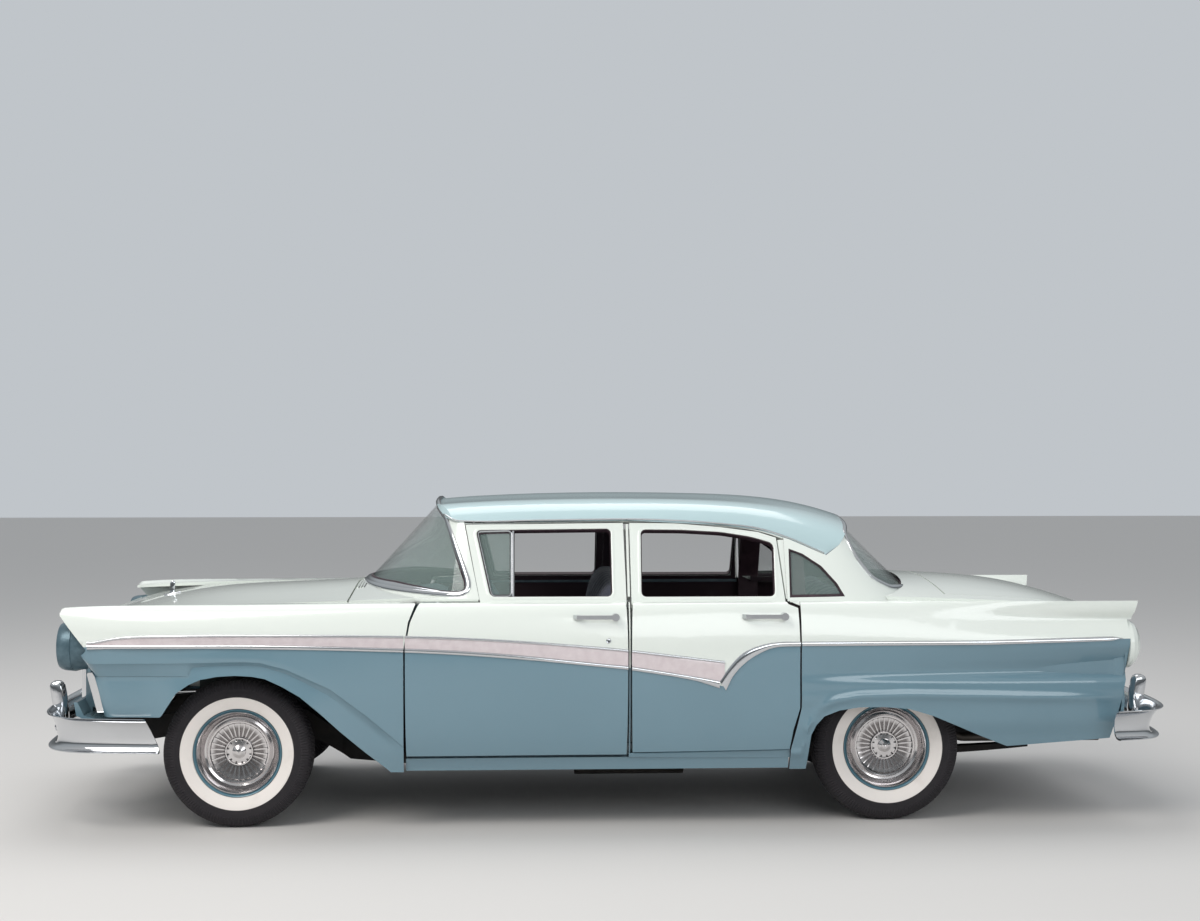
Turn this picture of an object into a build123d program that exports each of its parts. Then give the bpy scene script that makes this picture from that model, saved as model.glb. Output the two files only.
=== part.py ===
from build123d import *
import math
import os
from typing import NamedTuple

# A 1950s four-door sedan, 5.12 m long, built as its separate panels and running gear.
# +X runs to the tail, +Y to the right side, +Z up. The origin is under mid-length, on the ground.
# Left-hand pieces are modelled at negative Y, and their twins are mirrored in the centre plane.

# Driving dimensions, in millimetres and degrees
WHEELBASE = 2946
FRONT_AXLE_X = -1680
REAR_AXLE_X = FRONT_AXLE_X + WHEELBASE
FRONT_HALF_TRACK = 749.5
REAR_HALF_TRACK = 716.5
TYRE_R = 335
TYRE_W = 190
BEAD_R = 188
KINGPIN_Y = 650
SPINDLE_R = 17
RUNNING_GAP = 0.3
BELT_Z = 1015
BELT_W = 870
GLASS_RUN = 170 / 360
GLASS_TILT = math.atan(GLASS_RUN)
FRAME_THICK = 38
SKIN = 22
GLASS = 5
DOOR_INNER_W = 862
DOOR_OUTER_W = 975
HINGE_W = 985
SEAM_W = 780
SILL_Z = 327
HEADLAMP_Y = 762
HEADLAMP_Z = 815
TAILLAMP_Y = 792
TAILLAMP_Z = 806
FLOOR_Z = 330

os.makedirs("parts", exist_ok=True)


class Station(NamedTuple):
    """One section of the body's side: half-widths and heights from sill to crown, then the inner seam."""

    x: float
    sill_w: float
    sill_z: float
    belly_w: float
    shoulder_w: float
    waist_w: float
    waist_z: float
    trim_w: float
    notch_w: float
    notch_z: float
    crown_w: float
    crown_z: float
    fin_lean: float
    seam_w: float
    seam_z: float


BELLY_Z = 400
SHOULDER_Z = 592
TRIM_Z = 835
CORE_W = 560
POST_INSET = 9
SIDE_STATIONS = (
    Station(-2480, 815, 255, 835, 862, 868, 700, 886, 885, 930, 850, 992, 6, 780, 975),
    Station(-2250, 850, 255, 880, 908, 914, 700, 926, 920, 935, 868, 1003, 6, 780, 990),
    Station(-1800, 880, 255, 918, 944, 950, 700, 954, 938, 940, 872, 1006, 6, 780, 1000),
    Station(-1250, 900, 255, 940, 960, 964, 700, 962, 942, 945, 876, 1010, 6, 780, 1008),
    Station(-600, 905, 255, 943, 963, 967, 700, 963, 943, 948, 884, 1013, 6, 780, 1010),
    Station(300, 905, 255, 943, 963, 967, 700, 963, 942, 950, 888, 1014, 6, 780, 1012),
    Station(850, 902, 258, 941, 962, 960, 690, 961, 938, 955, 891, 1013, 10, 780, 1012),
    Station(1350, 892, 290, 928, 957, 944, 672, 956, 925, 952, 893, 1011, 40, 785, 1008),
    Station(1850, 872, 335, 900, 934, 912, 664, 938, 898, 940, 893, 1010, 75, 790, 992),
    Station(2200, 845, 350, 868, 902, 874, 656, 915, 868, 930, 890, 1010, 88, 795, 960),
    Station(2440, 818, 360, 836, 872, 838, 648, 898, 846, 922, 886, 1010, 92, 800, 925),
)


def side_form(inset: float = 0, drop: float = 0) -> Part:
    """The left side of the body as one solid, moved inboard by inset and down by drop."""
    with BuildPart() as form:
        for s in SIDE_STATIONS:
            lean = math.radians(s.fin_lean)
            fall = math.radians(-0.7 * s.fin_lean)
            crown = (inset - s.crown_w, s.crown_z - drop)
            with BuildSketch(Plane.YZ.offset(s.x)):
                with BuildLine():
                    Spline(
                        (inset - s.sill_w, s.sill_z - drop),
                        (inset - s.belly_w, BELLY_Z - drop),
                        (inset - s.shoulder_w, SHOULDER_Z - drop),
                        (inset - s.waist_w, s.waist_z - drop),
                        (inset - s.trim_w, TRIM_Z - drop),
                        (inset - s.notch_w, s.notch_z - drop),
                        crown,
                        tangents=((-0.35, 1), (math.cos(lean), math.sin(lean))),
                    )
                    Spline(
                        crown,
                        (inset - s.seam_w, s.seam_z - drop),
                        tangents=((math.cos(fall), math.sin(fall)), (1, 0)),
                    )
                    Polyline(
                        (inset - s.seam_w, s.seam_z - drop),
                        (-CORE_W, s.seam_z - drop),
                        (-CORE_W, s.sill_z - drop),
                        (inset - s.sill_w, s.sill_z - drop),
                    )
                make_face()
        loft()
    return form.part


def arch_prism(curve: list, foot: list, y0: float, y1: float) -> Part:
    """A side-view outline of a smooth (x, z) curve closed by straight lines through foot, from y0 to y1."""
    step = 1 if y1 > y0 else -1
    with BuildPart() as solid:
        with BuildSketch(Plane((0, y0, 0), x_dir=(1, 0, 0), z_dir=(0, step, 0))):
            with BuildLine():
                Spline(*[(x, -step * z) for x, z in curve])
                Polyline(*[(x, -step * z) for x, z in [curve[-1]] + foot + [curve[0]]])
            make_face()
        extrude(amount=abs(y1 - y0))
    return solid.part


def prism(points: list, y0: float, y1: float, taper: float = 0) -> Part:
    """A side-view outline of (x, z) points, carried from y0 to y1."""
    step = 1 if y1 > y0 else -1
    with BuildPart() as solid:
        with BuildSketch(Plane((0, y0, 0), x_dir=(1, 0, 0), z_dir=(0, step, 0))):
            with BuildLine():
                Polyline(*[(x, -step * z) for x, z in points], close=True)
            make_face()
        extrude(amount=abs(y1 - y0), taper=taper)
    return solid.part


def plan_prism(points: list, z0: float, z1: float) -> Part:
    """A plan-view outline of (x, y) points, carried from z0 up to z1."""
    with BuildPart() as solid:
        with BuildSketch(Plane.XY.offset(z0)):
            with BuildLine():
                Polyline(*points, close=True)
            make_face()
        extrude(amount=z1 - z0)
    return solid.part


def side_plane() -> Plane:
    """The plane of the left side windows, its origin on the belt line and its normal outward."""
    normal = (0, -math.cos(GLASS_TILT), math.sin(GLASS_TILT))
    return Plane((0, -BELT_W, BELT_Z), x_dir=(1, 0, 0), z_dir=normal)


def side_plate(points: list, depth: float, thick: float, taper: float = 0) -> Part:
    """A plate in the side windows' plane from an (x, z) outline, its face at depth below the glass line."""
    with BuildPart() as plate:
        with BuildSketch(side_plane().offset(-depth)):
            with BuildLine():
                Polyline(*[(x, (z - BELT_Z) / math.cos(GLASS_TILT)) for x, z in points], close=True)
            make_face()
        extrude(amount=-thick, taper=taper)
    return plate.part


class PlanPoint(NamedTuple):
    """A point of the greenhouse's plan, at the cowl's height and at the header's."""

    low_x: float
    low_w: float
    high_x: float
    high_w: float


LOW_Z = 1030
HIGH_Z = 1400
FRONT_PLAN = (
    PlanPoint(-1200, 0, -862, 0),
    PlanPoint(-1152, 300, -850, 280),
    PlanPoint(-1052, 540, -815, 470),
    PlanPoint(-925, 705, -768, 600),
    PlanPoint(-775, 815, -710, 668),
    PlanPoint(-620, 863, -620, 688),
)
REAR_PLAN = (
    PlanPoint(900, 863, 840, 688),
    PlanPoint(1060, 858, 930, 685),
    PlanPoint(1200, 818, 1015, 662),
    PlanPoint(1325, 712, 1072, 580),
    PlanPoint(1425, 520, 1097, 430),
    PlanPoint(1482, 270, 1107, 225),
    PlanPoint(1500, 0, 1110, 0),
)


def plan_curve(rows: tuple, z: float, inset: float) -> list:
    """The (x, w) points of one end of the greenhouse at height z, inset from its surface."""
    share = (z - LOW_Z) / (HIGH_Z - LOW_Z)
    raw = [(r.low_x + (r.high_x - r.low_x) * share, r.low_w + (r.high_w - r.low_w) * share) for r in rows]
    step = inset / math.cos(GLASS_TILT)
    inward = step if raw[0][0] < 0 else -step
    points = []
    for i, (x, w) in enumerate(raw):
        if w == 0:
            points.append((x + inward, 0))
        elif i in (0, len(raw) - 1):
            points.append((x, w - step))
        else:
            x0, w0 = raw[i - 1]
            x1, w1 = raw[i + 1]
            run = math.hypot(x1 - x0, w1 - w0)
            points.append((x + (w1 - w0) / run * step, w - (x1 - x0) / run * step))
    return points


def greenhouse(inset: float = 0, z0: float = 985, z1: float = 1480) -> Part:
    """The cabin above the belt as one solid, inset from its outer surface."""
    with BuildPart() as form:
        for z in (z0, z1):
            front = plan_curve(FRONT_PLAN, z, inset)
            rear = plan_curve(REAR_PLAN, z, inset)
            nose = [(x, -w) for x, w in reversed(front)] + front[1:]
            tail = rear + [(x, -w) for x, w in reversed(rear)][1:]
            with BuildSketch(Plane.XY.offset(z)):
                with BuildLine():
                    Spline(*nose, tangents=((-1, 0), (1, 0)))
                    Line(nose[-1], tail[0])
                    Spline(*tail)
                    Line(tail[-1], nose[0])
                make_face()
        loft(ruled=True)
    return form.part


class RoofStation(NamedTuple):
    """One section of the roof: its drip edge's half-width and height, and its height on the centreline."""

    x: float
    edge_w: float
    edge_z: float
    crown_z: float


ROOF_STATIONS = (
    RoofStation(-950, 690, 1345, 1430),
    RoofStation(-700, 706, 1354, 1466),
    RoofStation(-300, 713, 1362, 1484),
    RoofStation(150, 713, 1362, 1488),
    RoofStation(550, 716, 1336, 1480),
    RoofStation(850, 733, 1258, 1456),
    RoofStation(1050, 756, 1170, 1415),
    RoofStation(1250, 790, 1060, 1345),
)


def dome(side_inset: float = 0, drop: float = 0) -> Part:
    """The solid under the roof's surface, down to the belt."""
    with BuildPart() as form:
        for s in ROOF_STATIONS:
            w = s.edge_w - side_inset
            rise = s.crown_z - s.edge_z
            with BuildSketch(Plane.YZ.offset(s.x)):
                with BuildLine():
                    Spline(
                        (-w, s.edge_z - drop),
                        (-w * 0.93, s.edge_z + rise * 0.5 - drop),
                        (-w * 0.6, s.edge_z + rise * 0.87 - drop),
                        (0, s.crown_z - drop),
                        (w * 0.6, s.edge_z + rise * 0.87 - drop),
                        (w * 0.93, s.edge_z + rise * 0.5 - drop),
                        (w, s.edge_z - drop),
                    )
                    Polyline((w, s.edge_z - drop), (w, 900), (-w, 900), (-w, s.edge_z - drop))
                make_face()
        loft()
    return form.part


class DeckStation(NamedTuple):
    """One section of the hood or deck: its heights on the centreline, halfway out and at the seam."""

    x: float
    centre_z: float
    mid_z: float
    seam_z: float


HOOD_STATIONS = (
    DeckStation(-2470, 905, 905, 900),
    DeckStation(-2300, 950, 948, 945),
    DeckStation(-2100, 993, 985, 975),
    DeckStation(-1600, 1040, 1022, 1000),
    DeckStation(-1180, 1064, 1042, 1012),
    DeckStation(-600, 1075, 1055, 1016),
)
DECK_STATIONS = (
    DeckStation(1050, 1092, 1072, 1022),
    DeckStation(1500, 1088, 1066, 1012),
    DeckStation(1800, 1072, 1050, 1000),
    DeckStation(2050, 1038, 1022, 980),
    DeckStation(2250, 985, 975, 950),
    DeckStation(2400, 930, 925, 915),
)


def deck_form(stations: tuple, drop: float = 0) -> Part:
    """The solid under a crowned deck surface, down to the frame's height, moved down by drop."""
    with BuildPart() as form:
        for s in stations:
            with BuildSketch(Plane.YZ.offset(s.x)):
                with BuildLine():
                    Spline(
                        (-820, s.seam_z - drop),
                        (-430, s.mid_z - drop),
                        (0, s.centre_z - drop),
                        (430, s.mid_z - drop),
                        (820, s.seam_z - drop),
                    )
                    Polyline((820, s.seam_z - drop), (820, 400), (-820, 400), (-820, s.seam_z - drop))
                make_face()
        loft()
    return form.part


SIDE = side_form()
SIDE_RIGHT = SIDE.mirror(Plane.XZ)
SIDE_INNER = side_form(SKIN, SKIN)
CABIN = greenhouse()
CABIN_INNER = greenhouse(FRAME_THICK)
CABIN_CLEAR = greenhouse(-2)
DOME = dome()
DOME_INNER = dome(20, 30)
HOOD_FORM = deck_form(HOOD_STATIONS)
HOOD_INNER = deck_form(HOOD_STATIONS, 25)
DECK_FORM = deck_form(DECK_STATIONS)
DECK_INNER = deck_form(DECK_STATIONS, 25)

# Outlines in side view, as (x, z)
FRONT_WHEEL_ARCH = [
    (-2001, 517), (-1935, 618), (-1826, 679), (-1673, 697), (-1541, 683), (-1388, 602), (-1213, 447),
    (-1016, 282),
]
FRONT_ARCH_FOOT = [(-980, 100), (-2001, 100)]
FLARE_OUTER = [
    (-2420, 712), (-2262, 710), (-2000, 708), (-1759, 716), (-1640, 722), (-1500, 703), (-1350, 628),
    (-1140, 450), (-960, 268),
]
FLARE_INNER = [
    (-2420, 612), (-2262, 610), (-2000, 608), (-1759, 616), (-1650, 622), (-1550, 608), (-1425, 556),
    (-1215, 385), (-1035, 203),
]
FLARE_FOOT_Z = 100
REAR_WHEEL_ARCH = [(879, 274), (894, 416), (952, 501), (1111, 540), (1338, 531), (1568, 447), (1798, 351)]
REAR_ARCH_FOOT = [(1900, 100), (879, 100)]
FRONT_FENDER_OUTLINE = [
    (-2260, 509), (-2299, 681), (-2362, 782), (-2329, 808), (-2452, 961), (-2453, 974), (-2446, 989),
    (-2430, 999), (-2395, 1008), (-2387, 1040), (-868, 1040), (-883, 1002), (-911, 930),
    (-930, 811), (-930, 255), (-2001, 255), (-2001, 509),
]
QUARTER_OUTLINE = [
    (848, 539), (848, 1040), (2396, 1040), (2403, 1008), (2401, 996), (2383, 921), (2364, 921), (2364, 690),
    (2350, 649), (2285, 379), (1798, 346), (1700, 255), (808, 255), (808, 347),
]
DRIP_LINE = [
    (-1000, 1640), (-822, 1470), (-792, 1425), (-752, 1385), (-692, 1366), (89, 1373), (510, 1352), (680, 1331),
    (820, 1288), (990, 1215), (1060, 1262), (1128, 1345), (1140, 1380), (1300, 1500),
]
WINDSHIELD_OUTLINE = [
    (-1400, 1062), (-1178, 1062), (-900, 1054), (-690, 1047), (-658, 1052), (-648, 1070), (-655, 1100),
    (-745, 1364), (-752, 1383), (-792, 1423), (-822, 1468), (-1000, 1638), (-1400, 1638),
]
REAR_WINDOW_OUTLINE = [
    (1142, 1380), (1130, 1345), (1092, 1296), (1140, 1190), (1205, 1105), (1290, 1062), (1400, 1050),
    (1700, 1050), (1700, 1500), (1302, 1500),
]
QUARTER_WINDOW = [(818, 1245), (809, 1028), (1062, 1032), (1030, 1090), (963, 1167), (880, 1222)]

# Roof panel with its drip rails
with BuildPart() as roof:
    add(DOME)
    add(DOME_INNER, mode=Mode.SUBTRACT)
    add(greenhouse(-14, 985, 1500), mode=Mode.INTERSECT)
    add(prism(DRIP_LINE + [(1300, 1700), (-1000, 1700)], -900, 900), mode=Mode.INTERSECT)
roof.part.label = "roof"
export_step(roof.part, "parts/roof.step")

# What the pillars and panes may fill: everything below the drip line, and under the roof's inner surface
BELOW_DRIP = prism(DRIP_LINE + [(1700, 1500), (1700, 900), (-1400, 900), (-1400, 1640)], -900, 900)
with BuildPart() as pillar_space:
    add(BELOW_DRIP)
    add(roof.part, mode=Mode.SUBTRACT)
    add(DOME_INNER)

# Windshield frame: both front pillars, the header under the roof and the cowl's rim
with BuildPart() as windshield_frame:
    add(CABIN)
    add(CABIN_INNER, mode=Mode.SUBTRACT)
    add(prism([(-1400, 1000), (-885, 1000), (-872, 1024), (-596, 1024), (-668, 1362), (-668, 1500),
               (-1400, 1500)], -900, 0), mode=Mode.INTERSECT)
    add(pillar_space.part, mode=Mode.INTERSECT)
    add(prism(WINDSHIELD_OUTLINE, -900, 900), mode=Mode.SUBTRACT)
    mirror(about=Plane.XZ)
windshield_frame.part.label = "windshield_frame"
export_step(windshield_frame.part, "parts/windshield_frame.step")

# Windshield, one wrapped pane
GLASS_OUTER = greenhouse(14)
GLASS_INNER = greenhouse(14 + GLASS)
with BuildPart() as windshield:
    add(GLASS_OUTER)
    add(GLASS_INNER, mode=Mode.SUBTRACT)
    add(prism(WINDSHIELD_OUTLINE, -900, 0), mode=Mode.INTERSECT)
    add(pillar_space.part, mode=Mode.INTERSECT)
    mirror(about=Plane.XZ)
windshield.part.label = "windshield"
export_step(windshield.part, "parts/windshield.step")

# Rear window, one wrapped pane
with BuildPart() as rear_window:
    add(GLASS_OUTER)
    add(GLASS_INNER, mode=Mode.SUBTRACT)
    add(prism(REAR_WINDOW_OUTLINE, -900, 0), mode=Mode.INTERSECT)
    add(pillar_space.part, mode=Mode.INTERSECT)
    mirror(about=Plane.XZ)
rear_window.part.label = "rear_window"
export_step(rear_window.part, "parts/rear_window.step")

# Rear pillars: the quarter windows' frames and the rear window's rim
with BuildPart() as rear_pillars:
    add(CABIN)
    add(CABIN_INNER, mode=Mode.SUBTRACT)
    add(prism([(797, 1000), (1700, 1000), (1700, 1500), (797, 1500)], -900, 0), mode=Mode.INTERSECT)
    add(pillar_space.part, mode=Mode.INTERSECT)
    add(SIDE, mode=Mode.SUBTRACT)
    add(prism(REAR_WINDOW_OUTLINE, -900, 900), mode=Mode.SUBTRACT)
    add(prism(QUARTER_WINDOW, -900, 900), mode=Mode.SUBTRACT)
    mirror(about=Plane.XZ)
rear_pillars.part.label = "rear_pillars"
export_step(rear_pillars.part, "parts/rear_pillars.step")

# Quarter windows
with BuildPart() as quarter_windows:
    add(GLASS_OUTER)
    add(GLASS_INNER, mode=Mode.SUBTRACT)
    add(prism(QUARTER_WINDOW, -900, 0), mode=Mode.INTERSECT)
    mirror(about=Plane.XZ)
quarter_windows.part.label = "quarter_windows"
export_step(quarter_windows.part, "parts/quarter_windows.step")

# Front fenders, their skin stepped in below the line that sweeps over the wheel
SCOOP_DEPTH = 15
with BuildPart() as scoop:
    for y, curve in ((-985, FLARE_OUTER), (-900, FLARE_INNER)):
        foot = (curve[-1], (curve[-1][0], FLARE_FOOT_Z), (curve[0][0], FLARE_FOOT_Z), curve[0])
        with BuildSketch(Plane((0, y, 0), x_dir=(1, 0, 0), z_dir=(0, 1, 0))):
            with BuildLine():
                Spline(*[(x, -z) for x, z in curve])
                Polyline(*[(x, -z) for x, z in foot])
            make_face()
    loft(ruled=True)
    add(side_form(SCOOP_DEPTH), mode=Mode.SUBTRACT)
with BuildPart() as front_fender_left:
    add(SIDE)
    add(scoop.part, mode=Mode.SUBTRACT)
    add(side_form(SKIN + SCOOP_DEPTH, SKIN), mode=Mode.SUBTRACT)
    add(prism(FRONT_FENDER_OUTLINE, -1000, -SEAM_W - 3), mode=Mode.INTERSECT)
    add(arch_prism(FRONT_WHEEL_ARCH, FRONT_ARCH_FOOT, -1000, -CORE_W), mode=Mode.SUBTRACT)
front_fender_left.part.label = "front_fender_left"
export_step(front_fender_left.part, "parts/front_fender_left.step")

with BuildPart() as front_fender_right:
    mirror(front_fender_left.part, about=Plane.XZ)
front_fender_right.part.label = "front_fender_right"
export_step(front_fender_right.part, "parts/front_fender_right.step")

# Quarter panels with their fins
with BuildPart() as quarter_panel_left:
    add(SIDE)
    add(SIDE_INNER, mode=Mode.SUBTRACT)
    add(prism(QUARTER_OUTLINE, -1000, -SEAM_W - 3), mode=Mode.INTERSECT)
    add(arch_prism(REAR_WHEEL_ARCH, REAR_ARCH_FOOT, -1000, -CORE_W), mode=Mode.SUBTRACT)
quarter_panel_left.part.label = "quarter_panel_left"
export_step(quarter_panel_left.part, "parts/quarter_panel_left.step")

with BuildPart() as quarter_panel_right:
    mirror(quarter_panel_left.part, about=Plane.XZ)
quarter_panel_right.part.label = "quarter_panel_right"
export_step(quarter_panel_right.part, "parts/quarter_panel_right.step")

# Doors: a hollow-looking lower slab cut from the body side, with a tapered upper frame in the glass plane
FRONT_DOOR_SLAB = [
    (-924, SILL_Z), (-924, 811), (-905, 930), (-877, 1002), (-862, 1030), (69, 1030), (69, SILL_Z),
]
FRONT_DOOR_FRAME = [(-590, 1000), (-662, 1355), (60, 1362), (67, 1000)]
FRONT_WINDOW = [(-548, 1034), (-617, 1332), (5, 1338), (5, 1034)]
REAR_DOOR_SLAB = [
    (84.5, SILL_Z + 10), (84.5, 1030), (790, 1030), (800, 1008), (842, 990), (842, 539), (815, 440), (802, 347),
]
REAR_DOOR_FRAME = [(89, 1000), (89, 1362), (300, 1360), (510, 1342), (680, 1320), (763, 1294), (788, 1000)]
REAR_WINDOW_OPENING = [(133, 1032), (139, 1334), (330, 1332), (509, 1322), (650, 1300), (752, 1270), (744, 1032)]


def door(slab: list, frame: list, window: list, frame_taper: float) -> Part:
    """One left door, its edges slanted so that it swings clear."""
    depth = DOOR_OUTER_W - DOOR_INNER_W
    with BuildPart() as solid:
        add(SIDE)
        add(prism(slab, -DOOR_OUTER_W, -DOOR_INNER_W, taper=7), mode=Mode.INTERSECT)
        add(side_plate(frame, 0, FRAME_THICK, taper=frame_taper))
        add(side_plate(window, -20, FRAME_THICK + 120), mode=Mode.SUBTRACT)
    return solid.part


with BuildPart() as door_front_left:
    add(door(FRONT_DOOR_SLAB, FRONT_DOOR_FRAME, FRONT_WINDOW, 17))
door_front_left.part.label = "door_front_left"
export_step(door_front_left.part, "parts/door_front_left.step")

with BuildPart() as door_front_right:
    mirror(door_front_left.part, about=Plane.XZ)
door_front_right.part.label = "door_front_right"
export_step(door_front_right.part, "parts/door_front_right.step")

with BuildPart() as door_rear_left:
    add(door(REAR_DOOR_SLAB, REAR_DOOR_FRAME, REAR_WINDOW_OPENING, 22))
door_rear_left.part.label = "door_rear_left"
export_step(door_rear_left.part, "parts/door_rear_left.step")

with BuildPart() as door_rear_right:
    mirror(door_rear_left.part, about=Plane.XZ)
door_rear_right.part.label = "door_rear_right"
export_step(door_rear_right.part, "parts/door_rear_right.step")

# Door handles: a pull bar on a front post, with a round button housing at its rear end
HANDLE_Z = 952
HANDLE_PLAN = [(-102, 20), (-102, -8), (-88, -32), (-64, -40), (72, -42), (72, -31), (-58, -28), (-72, -18),
               (-74, 20)]


def door_handle(x: float) -> Part:
    """One left door handle centred at x, seated on the body's side."""
    with BuildPart() as handle:
        with BuildSketch(Plane((x, -943, HANDLE_Z - 9), x_dir=(1, 0, 0), z_dir=(0, 0, 1))):
            with BuildLine():
                Polyline(*HANDLE_PLAN, close=True)
            make_face()
        extrude(amount=18)
        with BuildSketch(Plane((x + 86, -923, HANDLE_Z), x_dir=(1, 0, 0), z_dir=(0, -1, 0))):
            Circle(17)
        extrude(amount=64)
        add(SIDE, mode=Mode.SUBTRACT)
    return handle.part


for place, x in (("front", -74), ("rear", 684)):
    with BuildPart() as handle_left:
        add(door_handle(x))
    handle_left.part.label = "handle_" + place + "_left"
    export_step(handle_left.part, "parts/handle_" + place + "_left.step")
    with BuildPart() as handle_right:
        mirror(handle_left.part, about=Plane.XZ)
    handle_right.part.label = "handle_" + place + "_right"
    export_step(handle_right.part, "parts/handle_" + place + "_right.step")

# Hood
HOOD_PLAN = [(-2395, -700), (-2360, -774), (-1195, -774), (-1195, 774), (-2360, 774), (-2395, 700)]
with BuildPart() as hood:
    add(HOOD_FORM)
    add(HOOD_INNER, mode=Mode.SUBTRACT)
    add(plan_prism(HOOD_PLAN, 700, 1200), mode=Mode.INTERSECT)
hood.part.label = "hood"
export_step(hood.part, "parts/hood.step")

# Cowl between hood and windshield
with BuildPart() as cowl:
    add(HOOD_FORM)
    add(HOOD_INNER, mode=Mode.SUBTRACT)
    add(plan_prism([(-1187, -777), (-600, -777), (-600, 0), (-1187, 0)], 700, 1200), mode=Mode.INTERSECT)
    add(CABIN_CLEAR, mode=Mode.SUBTRACT)
    mirror(about=Plane.XZ)
cowl.part.label = "cowl"
export_step(cowl.part, "parts/cowl.step")

# Tail panel between the quarter panels
TAIL_SIDE = [(2321, 452), (2346, 640), (2346, 880), (2360, 880), (2360, 640), (2335, 446)]
with BuildPart() as tail_panel:
    add(prism(TAIL_SIDE, -1000, -CORE_W))
    add(side_form(SKIN + 1, SKIN + 1), mode=Mode.INTERSECT)
    add(prism(TAIL_SIDE, -CORE_W, 0))
    mirror(about=Plane.XZ)
tail_panel.part.label = "tail_panel"
export_step(tail_panel.part, "parts/tail_panel.step")

# Trunk lid
TRUNK_PLAN = [(1560, -700), (2330, -700), (2350, -600), (2350, 600), (2330, 700), (1560, 700)]
with BuildPart() as trunk_lid:
    add(DECK_FORM)
    add(DECK_INNER, mode=Mode.SUBTRACT)
    add(plan_prism(TRUNK_PLAN, 700, 1200), mode=Mode.INTERSECT)
trunk_lid.part.label = "trunk_lid"
export_step(trunk_lid.part, "parts/trunk_lid.step")

# Deck panel round the lid
with BuildPart() as deck_panel:
    add(DECK_FORM)
    add(DECK_INNER, mode=Mode.SUBTRACT)
    add(plan_prism([(1060, -785), (2370, -785), (2370, 785), (1060, 785)], 700, 1200), mode=Mode.INTERSECT)
    add(plan_prism([(1553, -707), (2380, -707), (2380, 707), (1553, 707)], 700, 1200), mode=Mode.SUBTRACT)
    add(SIDE, mode=Mode.SUBTRACT)
    add(SIDE_RIGHT, mode=Mode.SUBTRACT)
    add(CABIN_CLEAR, mode=Mode.SUBTRACT)
deck_panel.part.label = "deck_panel"
export_step(deck_panel.part, "parts/deck_panel.step")

# Vent windows, the small hinged panes at the front of the front doors
VENT_PANE = [(-544, 1040), (-610, 1324), (-450, 1328), (-450, 1040)]
VENT_BAR = [(-450, 1038), (-450, 1329), (-438, 1329), (-438, 1038)]
with BuildPart() as vent_window_left:
    add(side_plate(VENT_PANE, 14, GLASS))
    add(side_plate(VENT_BAR, 8, 18))
vent_window_left.part.label = "vent_window_left"
export_step(vent_window_left.part, "parts/vent_window_left.step")

with BuildPart() as vent_window_right:
    mirror(vent_window_left.part, about=Plane.XZ)
vent_window_right.part.label = "vent_window_right"
export_step(vent_window_right.part, "parts/vent_window_right.step")

# Side frames: the rockers under the doors and the posts between them
ROCKER_SECTION = [(-780, 262), (-890, 262), (-903, SILL_Z - 9), (-852, SILL_Z - 9), (-852, 372), (-780, 372)]
with BuildPart() as door_posts:
    with BuildSketch(Plane.YZ.offset(-922)):
        with BuildLine():
            Polyline(*ROCKER_SECTION, close=True)
        make_face()
    extrude(amount=1718)
    with BuildSketch(Plane.XY.offset(300)):
        with Locations((78, -803)):
            Rectangle(90, 46)
    extrude(amount=700)
    add(side_plate([(38, 1000), (42, 1352), (108, 1352), (112, 1000)], 46, 30))
    add(side_plate([(72.5, 1036), (72.5, 1358), (83.5, 1358), (83.5, 1036)], 3, 44))
    mirror(about=Plane.XZ)
# A thin strip of the post shows between the doors, just under their surface
with BuildPart() as post_strip:
    add(side_form(POST_INSET))
    add(prism([(74.3, SILL_Z), (74.3, 1025), (79.2, 1025), (79.2, SILL_Z)], -DOOR_OUTER_W, -803),
        mode=Mode.INTERSECT)
    mirror(about=Plane.XZ)
with BuildPart() as side_frames:
    add(door_posts.part)
    add(post_strip.part)
side_frames.part.label = "side_frames"
export_step(side_frames.part, "parts/side_frames.step")


def bent_sheet(points: list, thick: float, y0: float, y1: float) -> Part:
    """A sheet of constant thickness whose side view follows (x, z) points, from y0 to y1."""
    with BuildPart() as sheet:
        with BuildSketch(Plane((0, y0, 0), x_dir=(1, 0, 0), z_dir=(0, -1, 0))):
            with BuildLine():
                Polyline(*points)
                offset(amount=thick, side=Side.RIGHT, closed=True)
            make_face()
        extrude(amount=y0 - y1)
    return sheet.part


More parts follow.
